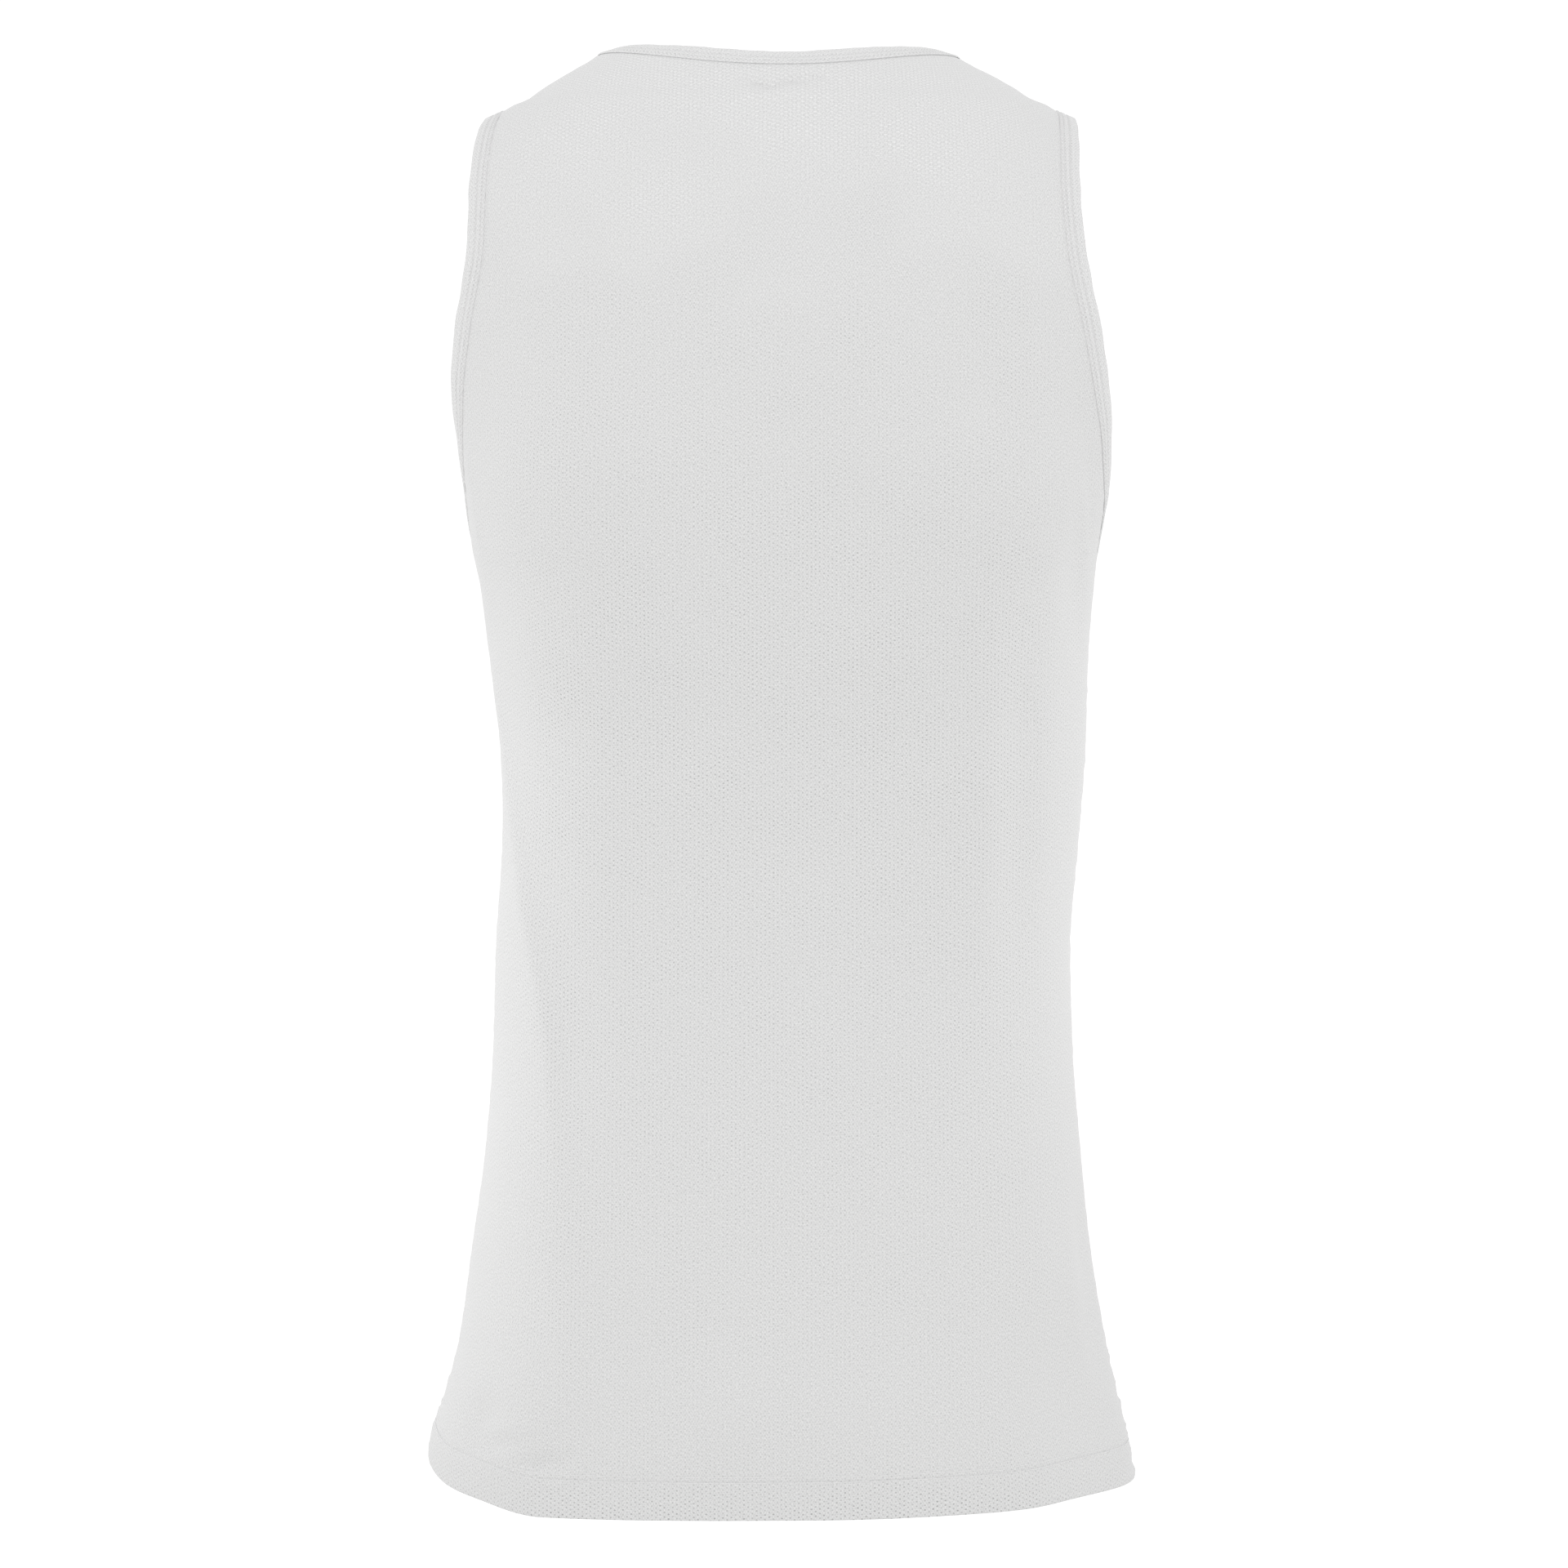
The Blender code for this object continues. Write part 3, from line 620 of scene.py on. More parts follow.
def mesh_knit(name, yarn, holes, hole, depth, open_share):
    """Warp-knitted polyester with staggered pinholes: matt filament yarn with a soft sheen at glancing
    angles. yarn is its hex colours in the dips and on the loops, and holes a list of (mm above the hem,
    hex colour) for what shows in the pinholes. hole and depth are their size and depth in mm, and
    open_share is how open they stay in the patches that are stretched least."""
    material = bpy.data.materials.new(name)
    material.use_nodes = True
    tree = material.node_tree
    place = add_node(tree, "UVMap", uv_map="cloth_mm")

    # the net: places counted in columns and in rows, and the distance to the middle of the pinhole there
    columns = add_node(tree, "VectorMath", {0: place, 1: (1 / NET_COLUMN, 0, 0)}, operation="DOT_PRODUCT")
    rising_row = (NET_ASKEW / NET_COLUMN, 1 / NET_PITCH, 0)
    rows = add_node(tree, "VectorMath", {0: place, 1: rising_row}, operation="DOT_PRODUCT")
    net = add_node(tree, "CombineXYZ", {0: columns, 1: rows})
    which = add_node(tree, "VectorMath", {0: net}, operation="FLOOR")
    part = add_node(tree, "VectorMath", {0: net}, operation="FRACTION")
    off = add_node(tree, "VectorMath", {0: part, 1: (0.5, 0.5, 0)}, operation="SUBTRACT")
    across_way = (NET_COLUMN * ACROSS_SHARE, 0, 0)
    off_across = add_node(tree, "VectorMath", {0: off, 1: across_way}, operation="DOT_PRODUCT")
    up_way = (-NET_ASKEW * NET_PITCH * UP_SHARE, NET_PITCH * UP_SHARE, 0)
    off_up = add_node(tree, "VectorMath", {0: off, 1: up_way}, operation="DOT_PRODUCT")
    offset = add_node(tree, "CombineXYZ", {0: off_across, 1: off_up})
    away = add_node(tree, "VectorMath", {0: offset}, operation="LENGTH")
    rim = {"Value": away, "From Min": hole * RIM_OUTSIDE, "From Max": hole * RIM_INSIDE}
    round_hole = add_node(tree, "MapRange", rim, interpolation_type="SMOOTHSTEP")

    # how far that pinhole is open: by chance, by patches of cloth that are stretched more, and less
    # towards the side seams, as painted light where the side light washes them out
    chance = add_node(tree, "TexWhiteNoise", {"Vector": which}, noise_dimensions="2D")
    few_wide = add_node(tree, "Math", {0: chance, 1: CHANCE_POWER}, operation="POWER")
    own = add_node(tree, "Math", {0: few_wide, 1: CHANCE_OPEN, 2: LEAST_OPEN}, operation="MULTIPLY_ADD")
    soft = {"Vector": place, "Detail": 1.0, "Roughness": 0.5}
    patches = add_node(tree, "TexNoise", {**soft, "Scale": 1 / PATCH})
    stretch = {"From Min": PATCH_LOW, "From Max": PATCH_HIGH, "To Min": open_share, "To Max": 1.0}
    stretched = add_node(tree, "MapRange", {"Value": patches, **stretch})
    across = add_node(tree, "VectorMath", {0: place, 1: (1.0, 0, 0)}, operation="DOT_PRODUCT")
    beside = add_node(tree, "Math", {0: across}, operation="ABSOLUTE")
    # painted light: towards the side seams the pinholes are drawn less open, as the side light washes them
    # out
    washing_out = {"From Min": WASHED_OUT_FROM, "From Max": WASHED_OUT_TO, "To Min": 1.0, "To Max": WASHED_OUT_OPEN}
    side_light_wash = add_node(tree, "MapRange", {"Value": beside, **washing_out}, interpolation_type="SMOOTHSTEP")
    stretch_and_wash = add_node(tree, "Math", {0: stretched, 1: side_light_wash}, operation="MULTIPLY")
    opened = add_node(tree, "Math", {0: own, 1: stretch_and_wash}, operation="MULTIPLY")
    open_hole = add_node(tree, "Math", {0: round_hole, 1: opened}, operation="MULTIPLY")

    # the yarn: slanted loops between the pinholes, in two directions that cross, with its unevenness
    turn = 2 * math.pi
    rising_turn = add_node(tree, "VectorMath", {0: net, 1: (turn, turn, 0)}, operation="DOT_PRODUCT")
    rising = add_node(tree, "Math", {0: rising_turn}, operation="COSINE")
    falling_turn = add_node(tree, "VectorMath", {0: net, 1: (-2 * turn, turn, 0)}, operation="DOT_PRODUCT")
    falling = add_node(tree, "Math", {0: falling_turn}, operation="COSINE")
    loops = add_node(tree, "Math", {0: falling, 1: rising}, operation="SUBTRACT")
    rough = {"Vector": place, "Detail": 2.0, "Roughness": 0.7}
    texture = add_node(tree, "TexNoise", {**rough, "Scale": 1 / FILAMENT})
    gain = {1: FILAMENT_GAIN, 2: FILAMENT_OFFSET}
    filament = add_node(tree, "Math", {0: texture, **gain}, operation="MULTIPLY_ADD")
    raised = add_node(tree, "Math", {0: loops, 1: LOOP_RISE, 2: filament}, operation="MULTIPLY_ADD")
    dips, tops = yarn
    tone = add_node(
        tree, "Mix", {FACTOR: raised, COLOUR_A: srgb(dips), COLOUR_B: srgb(tops)}, data_type="RGBA"
    )
    density = add_node(tree, "TexNoise", {**soft, "Scale": 1 / DENSITY, "Detail": 2.0})
    noise_range = {"From Min": DENSITY_LOW, "From Max": DENSITY_HIGH}
    tones = {"To Min": 1 - DENSITY_SHARE, "To Max": 1 + DENSITY_SHARE}
    denser = add_node(tree, "MapRange", {"Value": density, **noise_range, **tones})
    layers = {FACTOR: 1.0, COLOUR_A: tone, COLOUR_B: denser}
    cloth = add_node(tree, "Mix", layers, data_type="RGBA", blend_type="MULTIPLY")

    # what shows in the pinholes, by the height above the hem, which wavers as the light behind them does
    light_behind = add_node(tree, "TexNoise", {**soft, "Scale": 1 / LIGHT_PATCH})
    height = add_node(tree, "VectorMath", {0: place, 1: (0, 1 / KNIT_TOP, 0)}, operation="DOT_PRODUCT")
    growing = {"From Min": WAVER_FROM, "From Max": WAVER_TO, "To Min": 0.0, "To Max": WAVER}
    wavering = add_node(tree, "MapRange", {"Value": height, **growing})
    waver = add_node(tree, "Math", {0: light_behind, 1: 0.5}, operation="SUBTRACT")
    shown_height = add_node(tree, "Math", {0: waver, 1: wavering, 2: height}, operation="MULTIPLY_ADD")
    through = add_node(tree, "ValToRGB", {0: shown_height})
    through.color_ramp.interpolation = "EASE"
    while len(through.color_ramp.elements) < len(holes):
        through.color_ramp.elements.new(1.0)
    for stop, (level, code) in zip(through.color_ramp.elements, holes):
        stop.position, stop.color = level / KNIT_TOP, srgb(code)
    colour = add_node(
        tree, "Mix", {FACTOR: open_hole, COLOUR_A: cloth, COLOUR_B: through}, data_type="RGBA"
    )
    sunk = add_node(tree, "Math", {0: raised, 1: YARN_BUMP}, operation="MULTIPLY")
    relief = add_node(tree, "Math", {0: sunk, 1: open_hole}, operation="SUBTRACT")
    bump = add_node(tree, "Bump", {"Height": relief, "Distance": depth * MM})
    shader = tree.nodes["Principled BSDF"]
    tree.links.new(colour.outputs[COLOUR_OUT], shader.inputs["Base Color"])
    tree.links.new(bump.outputs["Normal"], shader.inputs["Normal"])
    shader.inputs["Roughness"].default_value = 0.82
    shader.inputs["IOR"].default_value = 1.5
    shader.inputs["Specular IOR Level"].default_value = 0.3
    shader.inputs["Sheen Weight"].default_value = 0.18
    shader.inputs["Sheen Roughness"].default_value = 0.4
    return material


SHARP = 60  # degrees between two faces, from which their edge is drawn sharp


def mesh_object(name, points, faces, flat, material):
    """An object from points in mm and faces. A piece of cloth has its own flat map too, in mm."""
    mesh = bpy.data.meshes.new(name)
    mesh.from_pydata((points * MM).tolist(), [], faces.tolist() if hasattr(faces, "tolist") else faces)
    made = bpy.data.objects.new(name, mesh)
    bpy.context.collection.objects.link(made)
    if flat is not None:
        corners = np.empty(len(mesh.loops), np.int32)
        mesh.loops.foreach_get("vertex_index", corners)
        places = flat.reshape(-1, 2)[corners].astype(np.float32)
        mesh.uv_layers.new(name="cloth_mm").data.foreach_set("uv", places.ravel())
    mesh.materials.append(material)
    mesh.shade_smooth()
    mesh.set_sharp_from_angle(angle=math.radians(SHARP))
    return made


def numbered(grid):
    """The numbers of a grid's points, which its faces refer to."""
    return np.arange(grid[..., 0].size).reshape(grid.shape[:-1])


def sewn_panel(name, cloth, material):
    """One panel as a closed thin shell: its outer face, the rounded fold along the hem, and its inner
    face, which stands further in where the second layer of the hem lies."""
    points, normals, up, across = (cloth[key] for key in ("points", "normals", "up", "across"))
    doubled = 1 - eased((up - HEM_RAW_EDGE) / HEM_RAW_SLOPE + 0.5)
    layers = CLOTH + (HEM_FOLD - CLOTH) * doubled
    inner = points - normals * layers[..., None]
    facing_out, down = normals[0], unit(points[0] - points[1])
    radius = HEM_FOLD / 2
    middle = points[0] - facing_out * radius
    rings = np.arange(1, HEM_ROLL_RINGS + 1)
    turns = (math.pi * rings / (HEM_ROLL_RINGS + 1))[:, None, None]
    rolled = middle + radius * (facing_out * np.cos(turns) + down * np.sin(turns))
    grid = np.concatenate([points[::-1], rolled, inner])

    places = np.stack([across, up], -1)
    rolled_places = places[0] - np.stack([0 * rings, rings * HEM_ROLL_STEP], -1)[:, None]
    flat = np.concatenate([places[::-1], rolled_places, places])

    number = numbered(grid)
    below = np.roll(number, -1, axis=0)
    faces = np.stack([number[:, :-1], number[:, 1:], below[:, 1:], below[:, :-1]], -1).reshape(-1, 4)
    row = np.arange(len(grid) // 2 - 1)
    other = len(grid) - 1 - row
    left = [number[row, 0], number[row + 1, 0], number[other - 1, 0], number[other, 0]]
    right = [number[row, -1], number[other, -1], number[other - 1, -1], number[row + 1, -1]]
    faces = np.concatenate([faces, np.stack(left, -1), np.stack(right, -1)])
    if cloth["side"] > 0:
        faces = faces[:, ::-1]
    return mesh_object(name, grid.reshape(-1, 3), faces, flat, material)


# What shows in the pinholes: the shaded inside low down, where the hem's second layer lies behind them,
# and the lit inside of the yoke above
knit = mesh_knit(
    "warp_knit_polyester_mesh",
    ("#CCCCCC", "#EEEEEE"),
    (
        (0, "#707070"),
        (12, "#969696"),
        (24, "#BCBCBC"),
        (55, "#C2C2C2"),
        (120, "#B8B8B8"),
        (200, "#B2B2B2"),
        (290, "#ACACAC"),
        (390, "#A2A2A2"),
        (470, "#A4A4A4"),
        (545, "#B0B0B0"),
        (600, "#B8B8B8"),
        (652, "#C8C8C8"),
        (695, "#EAEAEA"),
        (765, "#FFFFFF"),
    ),
    hole=0.9,
    depth=0.09,
    open_share=0.75,
)
back_cloth = panel_cloth(1, BACK_CREASES, BACK_BENDS, seed=11)
back = sewn_panel("back_knit", back_cloth, knit)
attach(back, "root")
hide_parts("back_panel")

# Front panel

# The same knit, with a lower round neck and armholes cut a little deeper. It hangs from the chest in
# soft folds, and its hem is turned up and coverstitched in one round with the back's.

FRONT_CREASES = (
    Crease(70, 560, 60, 9, 50, 0.9),
    Crease(-82, 548, 56, 9, 130, -0.8),
    Crease(150, 60, 20, 6, 18, -0.8),
    Crease(-165, 52, 22, 6, 160, -0.9),
)
front_cloth = panel_cloth(-1, FRONT_CREASES, (), seed=23)
front = sewn_panel("front_knit", front_cloth, knit)
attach(front, "root")
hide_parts("front_panel")

# Neck and armhole bindings

# Strips of the same knit, folded over the raw edges and coverstitched through all the layers, about
# 10 mm wide when sewn. The folded cloth is denser than the panels, so it is a little paler, and its
# colours are made paler still as painted light, for the light on the strips where they turn upwards.
# Its pinholes, in a painted even shade, hardly show.

BINDING_WIDTH = 10.35  # mm, from the panel's cut edge to the fold
BINDING_LAP = 0.8  # mm that each side of the strip laps over the panel
BINDING_HALF = 1.25  # mm, half of the folded strip
BINDING_STITCHES = (1.2, 4.5)  # mm from the seam, the two needles of the coverstitch
BINDING_GROOVE = (0.8, 0.5)  # mm, depth and half width of the dip in which each row lies
STRIP_EDGE, STRIP_EDGE_ROUND = 0.38, 0.9  # mm, half its thickness at its edges, and how far in it grows
STRIP_CLOTH, STRIP_PRESSED = 0.75, 0.06  # mm, the thickness of its cloth, and where a groove presses it
STRIP_FOLD_POINTS = 7  # round the fold
STRIP_EDGE_POINTS = (0, 0.25, 0.55, 0.85)  # mm in from its edges
STRIP_GROOVE_POINTS = (-1.0, -0.6, -0.3, 0, 0.3, 0.6, 1.0)  # mm to each side of a row of stitches
STRIP_FLAT_POINTS = (6.4, 7.6)  # mm from the seam, between the stitches and the fold

# The strips' waviness: mm from one wave to the next, and mm to each side
Wave = namedtuple("Wave", "length size")
STRIP_WAVES = (Wave(17, 0.10), Wave(26, 0.14), Wave(41, 0.16))
STRIP_TILT, STRIP_TILT_LAG = 0.5, 7  # share of it that lifts the strip, and by how many points that lags

# Factors on the upward part of the cloth's normals under a strip, at its highest and its lowest places.
# Above 1 the strip lies flatter there, and below 1 it stands more upright.
NECK_LEAN = (2.0, 1.3)
ARMHOLE_LEAN = (1.5, 0.05)

# Places in the openings, in mm, which the folds of the strips face
IN_NECK = (0, 0, 50)
IN_LEFT_ARMHOLE = (190, 0, (SHOULDER_TIP + UNDERARM_LEFT) / 2)
IN_RIGHT_ARMHOLE = (-190, 0, (SHOULDER_TIP + UNDERARM_LEFT) / 2)


def edge_loop(back_places, front_places, lean):
    """Points and normals, in mm, along a cut line over the back and returning over the front."""
    points, normals = [], []
    turn, climb = math.radians(2), 2  # small steps along the cloth and up it, for its normals
    levels = np.concatenate([back_places[1], front_places[1]])
    for side, (angle, level) in ((1, back_places), (-1, front_places)):
        along = cloth_point(side, angle + turn, level) - cloth_point(side, angle - turn, level)
        up = cloth_point(side, angle, level + climb) - cloth_point(side, angle, level - climb)
        normal = unit(np.cross(along, up) * side)
        down = eased((levels.max() - level) / (levels.max() - levels.min()))
        normal[:, 2] *= lean[0] + (lean[1] - lean[0]) * down
        point = cloth_point(side, angle, level)
        for end in (0, -1):
            point[end, 1] = normal[end, 1] = 0
        points.append(point[:-1])
        normals.append(unit(normal)[:-1])
    return np.concatenate(points), np.concatenate(normals)


def strip_profile():
    """The folded strip's section: distances in mm from the cut edge, and to each side of its middle."""
    start, end = -BINDING_LAP, BINDING_WIDTH - BINDING_HALF
    beside = np.array(STRIP_GROOVE_POINTS)
    rows = [stitches + beside for stitches in BINDING_STITCHES]
    flat = np.concatenate([start + np.array(STRIP_EDGE_POINTS), *rows, STRIP_FLAT_POINTS, [end]])
    grown = np.sin(math.pi / 2 * np.clip((flat - start) / STRIP_EDGE_ROUND, 0, 1))
    puffed = STRIP_EDGE + (BINDING_HALF - STRIP_EDGE) * grown
    depth, reach = BINDING_GROOVE
    for stitches in BINDING_STITCHES:
        puffed -= depth * np.exp(-(((flat - stitches) / reach) ** 2))
    hollow = np.minimum(BINDING_HALF - STRIP_CLOTH, puffed - STRIP_PRESSED)
    fold = np.linspace(0, math.pi, STRIP_FOLD_POINTS + 2)[1:-1]
    faces = []
    for half, first in ((puffed, 1), (hollow, -1)):
        faces.append(np.stack([flat, first * half], -1))
        faces.append(np.stack([end + half[-1] * np.sin(fold), first * half[-1] * np.cos(fold)], -1))
        faces.append(np.stack([flat, -first * half], -1)[::-1])
    return np.concatenate(faces)


def closed_faces(number):
    """Quads over a grid of numbers that closes on itself both ways."""
    ahead, beside = np.roll(number, -1, axis=0), np.roll(number, -1, axis=1)
    return np.stack([number, beside, np.roll(ahead, -1, axis=1), ahead], -1).reshape(-1, 4)


def binding(name, points, normals, towards, seed):
    """A folded strip round a loop. Returns it with its loop, the ways out towards the opening, and its
    normals, for the stitches."""
    along = unit(np.roll(points, -1, axis=0) - np.roll(points, 1, axis=0))
    out = unit(np.cross(along, normals))
    turned = np.sign(((towards - points) * out).sum(axis=1, keepdims=True))
    out *= turned
    run = np.linalg.norm(points - np.roll(points, 1, axis=0), axis=1).cumsum()
    total = run[-1]
    middle = points - normals * (CLOTH / 2)
    section = strip_profile()
    chance = np.random.default_rng(seed)
    wave = sum(
        size * np.sin(2 * math.pi * run * round(total / length) / total + chance.uniform(0, PHASE_RANGE))
        for length, size in STRIP_WAVES
    )
    share = np.clip(section[:, 0] / BINDING_WIDTH, 0, 1)
    away = section[:, 0] + wave[:, None] * share**2
    lift = section[:, 1] + STRIP_TILT * np.roll(wave, STRIP_TILT_LAG)[:, None] * share
    grid = middle[:, None] + out[:, None] * away[..., None] + normals[:, None] * lift[..., None]
    faces = closed_faces(numbered(grid))
    if turned.mean() < 0:
        faces = faces[:, ::-1]
    flat = np.stack(np.meshgrid(run_along(section), run), -1)
    made = mesh_object(name, grid.reshape(-1, 3), faces, flat, strip_knit)
    return made, dict(middle=middle, out=out, normals=normals, total=total)


# painted light: the strips' yarn colours are a little paler than the panels' partly for the light on their
# upward faces, and the pinholes show an even painted shade
strip_knit = mesh_knit(
    "warp_knit_polyester_binding",
    ("#CECECE", "#F2F2F2"),
    ((0, "#C0C0C0"), (KNIT_TOP, "#C0C0C0")),
    hole=0.7,
    depth=0.1,
    open_share=0.6,
)
bindings = {}
loop = edge_loop(
    (back_cloth["angle"][-1], back_cloth["level"][-1]),
    (front_cloth["angle"][-1][::-1], front_cloth["level"][-1][::-1]),
    NECK_LEAN,
)
bindings["neck"] = binding("neck_strip", *loop, IN_NECK, seed=5)
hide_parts("neck_binding")
rows = slice(back_cloth["underarm_row"], back_cloth["tip_row"] + 1)
for which, column, towards, seed in (("left", 0, IN_LEFT_ARMHOLE, 7), ("right", -1, IN_RIGHT_ARMHOLE, 6)):
    up_the_back = (back_cloth[key][rows, column] for key in ("angle", "level"))
    down_the_front = (front_cloth[key][rows, column][::-1] for key in ("angle", "level"))
    loop = edge_loop(tuple(up_the_back), tuple(down_the_front), ARMHOLE_LEAN)
    bindings[which] = binding(f"armhole_strip_{which}", *loop, towards, seed)
    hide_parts(f"armhole_binding_{which}")
for piece, _ in bindings.values():
    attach(piece, "root")

# Stitches

# Twin-needle coverstitch in soft white polyester thread: two rows of short straight stitches on the
# outside, and the looper thread's zigzag between them on the inside. It holds the hem and the bindings.

STITCH = 2.8  # mm, length of one stitch
THREAD = 0.45  # mm, textured thread, pressed flat
STITCH_SIDES, LOOPER_SIDES = 6, 5  # points round a thread
LOOPER_RAISED = 0.1  # mm
BINDING_STITCH_HEIGHT = 0.3  # mm from the middle of the folded strip, at the bottom of its grooves
HEM_STITCH_OFF = 0.02  # mm that the hem's stitches stand off the cloth
HEM_SKIPPED = 2  # columns beside each side seam that the hem's lines of stitches leave out
FUZZ = 0.4  # mm, the fuzz of the spun thread

# Rings of points along one stitch: share of its length, share of the thread's size, and mm above the cloth
StitchRing = namedtuple("StitchRing", "share size raised")
STITCH_RINGS = (
    StitchRing(0.02, 0.55, -0.20),
    StitchRing(0.15, 1.0, 0.04),
    StitchRing(0.50, 1.0, 0.10),
    StitchRing(0.85, 1.0, 0.04),
    StitchRing(0.98, 0.55, -0.20),
)


def around(line):
    """A closed line with its first row again at its end."""
    return np.concatenate([line, line[:1]])


def at_places(wanted, run, values):
    """Points or directions at wanted distances along a line."""
    found = [np.interp(wanted.ravel(), run, values[:, k]) for k in range(values.shape[1])]
    return np.stack(found, -1).reshape(*wanted.shape, -1)


def rings_round(centre, along, up, radius, sides):
    """Rings of points round each centre of a thread."""
    beside = unit(np.cross(along, up))[..., None, :]
    turn = np.linspace(0, 2 * math.pi, sides, endpoint=False)[:, None]
    return centre[..., None, :] + radius * (np.cos(turn) * up[..., None, :] + np.sin(turn) * beside)


def capped_faces(number):
    """Faces of tubes with caps, from the numbers of their rings' points, tube by tube."""
    low, high = number[:, :-1], number[:, 1:]
    quads = np.stack([low, np.roll(low, -1, axis=2), np.roll(high, -1, axis=2), high], -1).reshape(-1, 4)
    return quads.tolist() + number[:, 0, ::-1].tolist() + number[:, -1].tolist()


def stitch_row(points, normals):
    """Points and faces of a row of straight stitches on a closed line: small rounded bars that dip into
    the cloth at both ends."""
    run = run_along(around(points))
    count = round(run[-1] / STITCH)
    starts = np.linspace(0, run[-1], count + 1)[:-1]
    shares, sizes, raised = np.array(STITCH_RINGS).T
    at = starts[:, None] + shares * (run[-1] / count)
    centre = at_places(at, run, around(points))
    up = unit(at_places(at, run, around(normals)))
    along = np.gradient(centre, axis=1)
    radius = (sizes * THREAD / 2)[:, None, None]
    rings = rings_round(centre + up * raised[:, None], along, up, radius, STITCH_SIDES)
    return rings.reshape(-1, 3), capped_faces(numbered(rings))


def looper_zigzag(first, second, normals):
    """Points and faces of the looper thread, which crosses between two closed lines at each stitch."""
    run = run_along(around(first))
    crossings = round(run[-1] / (STITCH / 2)) // 2 * 2
    at = np.linspace(0, run[-1], crossings, endpoint=False)
    near, far = at_places(at, run, around(first)), at_places(at, run, around(second))
    up = unit(at_places(at, run, around(normals)))
    centre = np.where((np.arange(crossings) % 2 == 0)[:, None], near, far) + up * LOOPER_RAISED
    along = np.roll(centre, -1, axis=0) - np.roll(centre, 1, axis=0)
    rings = rings_round(centre, along, up, THREAD / 2, LOOPER_SIDES)
    return rings.reshape(-1, 3), closed_faces(numbered(rings)).tolist()


def joined(parts):
    """Several pairs of points and faces as one pair."""
    points, faces, before = [], [], 0
    for some_points, some_faces in parts:
        points.append(some_points)
        faces += [[i + before for i in face] for face in some_faces]
        before += len(some_points)
    return np.concatenate(points), faces


def spun_thread(name, dips, tops):
    """Spun polyester thread: matt, slightly fuzzy, a shade paler than the knit that it sinks into."""
    material = bpy.data.materials.new(name)
    material.use_nodes = True
    tree = material.node_tree
    place = add_node(tree, "TexCoord").outputs["Object"]
    fuzz = add_node(tree, "TexNoise", {"Vector": place, "Scale": 1 / (FUZZ * MM), "Detail": 2.0})
    colours = {COLOUR_A: srgb(dips), COLOUR_B: srgb(tops)}
    tone = add_node(tree, "Mix", {FACTOR: fuzz, **colours}, data_type="RGBA")
    shader = tree.nodes["Principled BSDF"]
    tree.links.new(tone.outputs[COLOUR_OUT], shader.inputs["Base Color"])
    shader.inputs["Roughness"].default_value = 0.7
    shader.inputs["Specular IOR Level"].default_value = 0.3
    shader.inputs["Sheen Weight"].default_value = 0.2
    return material


thread = spun_thread("spun_polyester_thread", "#E4E4E4", "#F0F0F0")
for which, (piece, strip) in bindings.items():
    near, far = (strip["middle"] + strip["out"] * place for place in BINDING_STITCHES)
    height = strip["normals"] * BINDING_STITCH_HEIGHT
    parts = [stitch_row(line + height, strip["normals"]) for line in (near, far)]
    parts.append(looper_zigzag(near - height, far - height, -strip["normals"]))
    made = mesh_object(f"coverstitch_{which}", *joined(parts), None, thread)
    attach(made, "root")
    bindings[which] = piece, strip, made


def round_the_hem(height, inside):
    """The closed line and normals at a height above the hem's edge, round both panels."""
    lines, ways = [], []
    for cloth in (back_cloth, front_cloth):
        row = HEM_ROWS.index(height)
        depth = HEM_FOLD + HEM_STITCH_OFF if inside else -HEM_STITCH_OFF
        line = (cloth["points"][row] - cloth["normals"][row] * depth)[HEM_SKIPPED:-HEM_SKIPPED]
        way = cloth["normals"][row][HEM_SKIPPED:-HEM_SKIPPED] * (-1 if inside else 1)
        lines.append(line if cloth["side"] > 0 else line[::-1])
        ways.append(way if cloth["side"] > 0 else way[::-1])
    return np.concatenate(lines), np.concatenate(ways)


parts = [stitch_row(*round_the_hem(height, False)) for height in HEM_STITCH_ROWS]
inside_low, ways = round_the_hem(HEM_STITCH_ROWS[0], True)
inside_high, _ = round_the_hem(HEM_STITCH_ROWS[1], True)
parts.append(looper_zigzag(inside_low, inside_high, ways))
hem_stitches = mesh_object("coverstitch_hem", *joined(parts), None, thread)
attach(hem_stitches, "root")

# Inside of the seams

# The side and shoulder seams are overlocked: both panels' edges are trimmed to 6 mm, bound together
# with looped thread and pressed towards the back, where they lie flat against the inside.

# The section of the two trimmed edges, in mm from the seam and in mm from the panel's inner face
SeamPoint = namedtuple("SeamPoint", "across deep")
SEAM_SECTION = (
    SeamPoint(-0.2, 0.7),
    SeamPoint(0.4, 0.2),
    SeamPoint(1.6, 0.15),
    SeamPoint(3.2, 0.15),
    SeamPoint(4.8, 0.15),
    SeamPoint(5.7, 0.35),
    SeamPoint(6.0, 0.9),
    SeamPoint(5.7, 1.5),
    SeamPoint(4.8, 1.75),
    SeamPoint(3.2, 1.8),
    SeamPoint(1.6, 1.7),
    SeamPoint(0.4, 1.3),
)
SEAM_MAP_STEP = 1.2  # mm of cloth from one point of the section to the next
OVERLOCK = 2.2  # mm from one loop to the next
OVERLOCK_NEAR, OVERLOCK_RIM = SeamPoint(2.4, 1.9), SeamPoint(6.1, 1.5)  # the ends of each loop
OVERLOCK_INSET = 0.5  # mm from the seam's ends
LEAST_LOOPS = 4
SEAM_COLUMNS = 8  # columns of the back's quads from the seam, in whose direction the edges lie


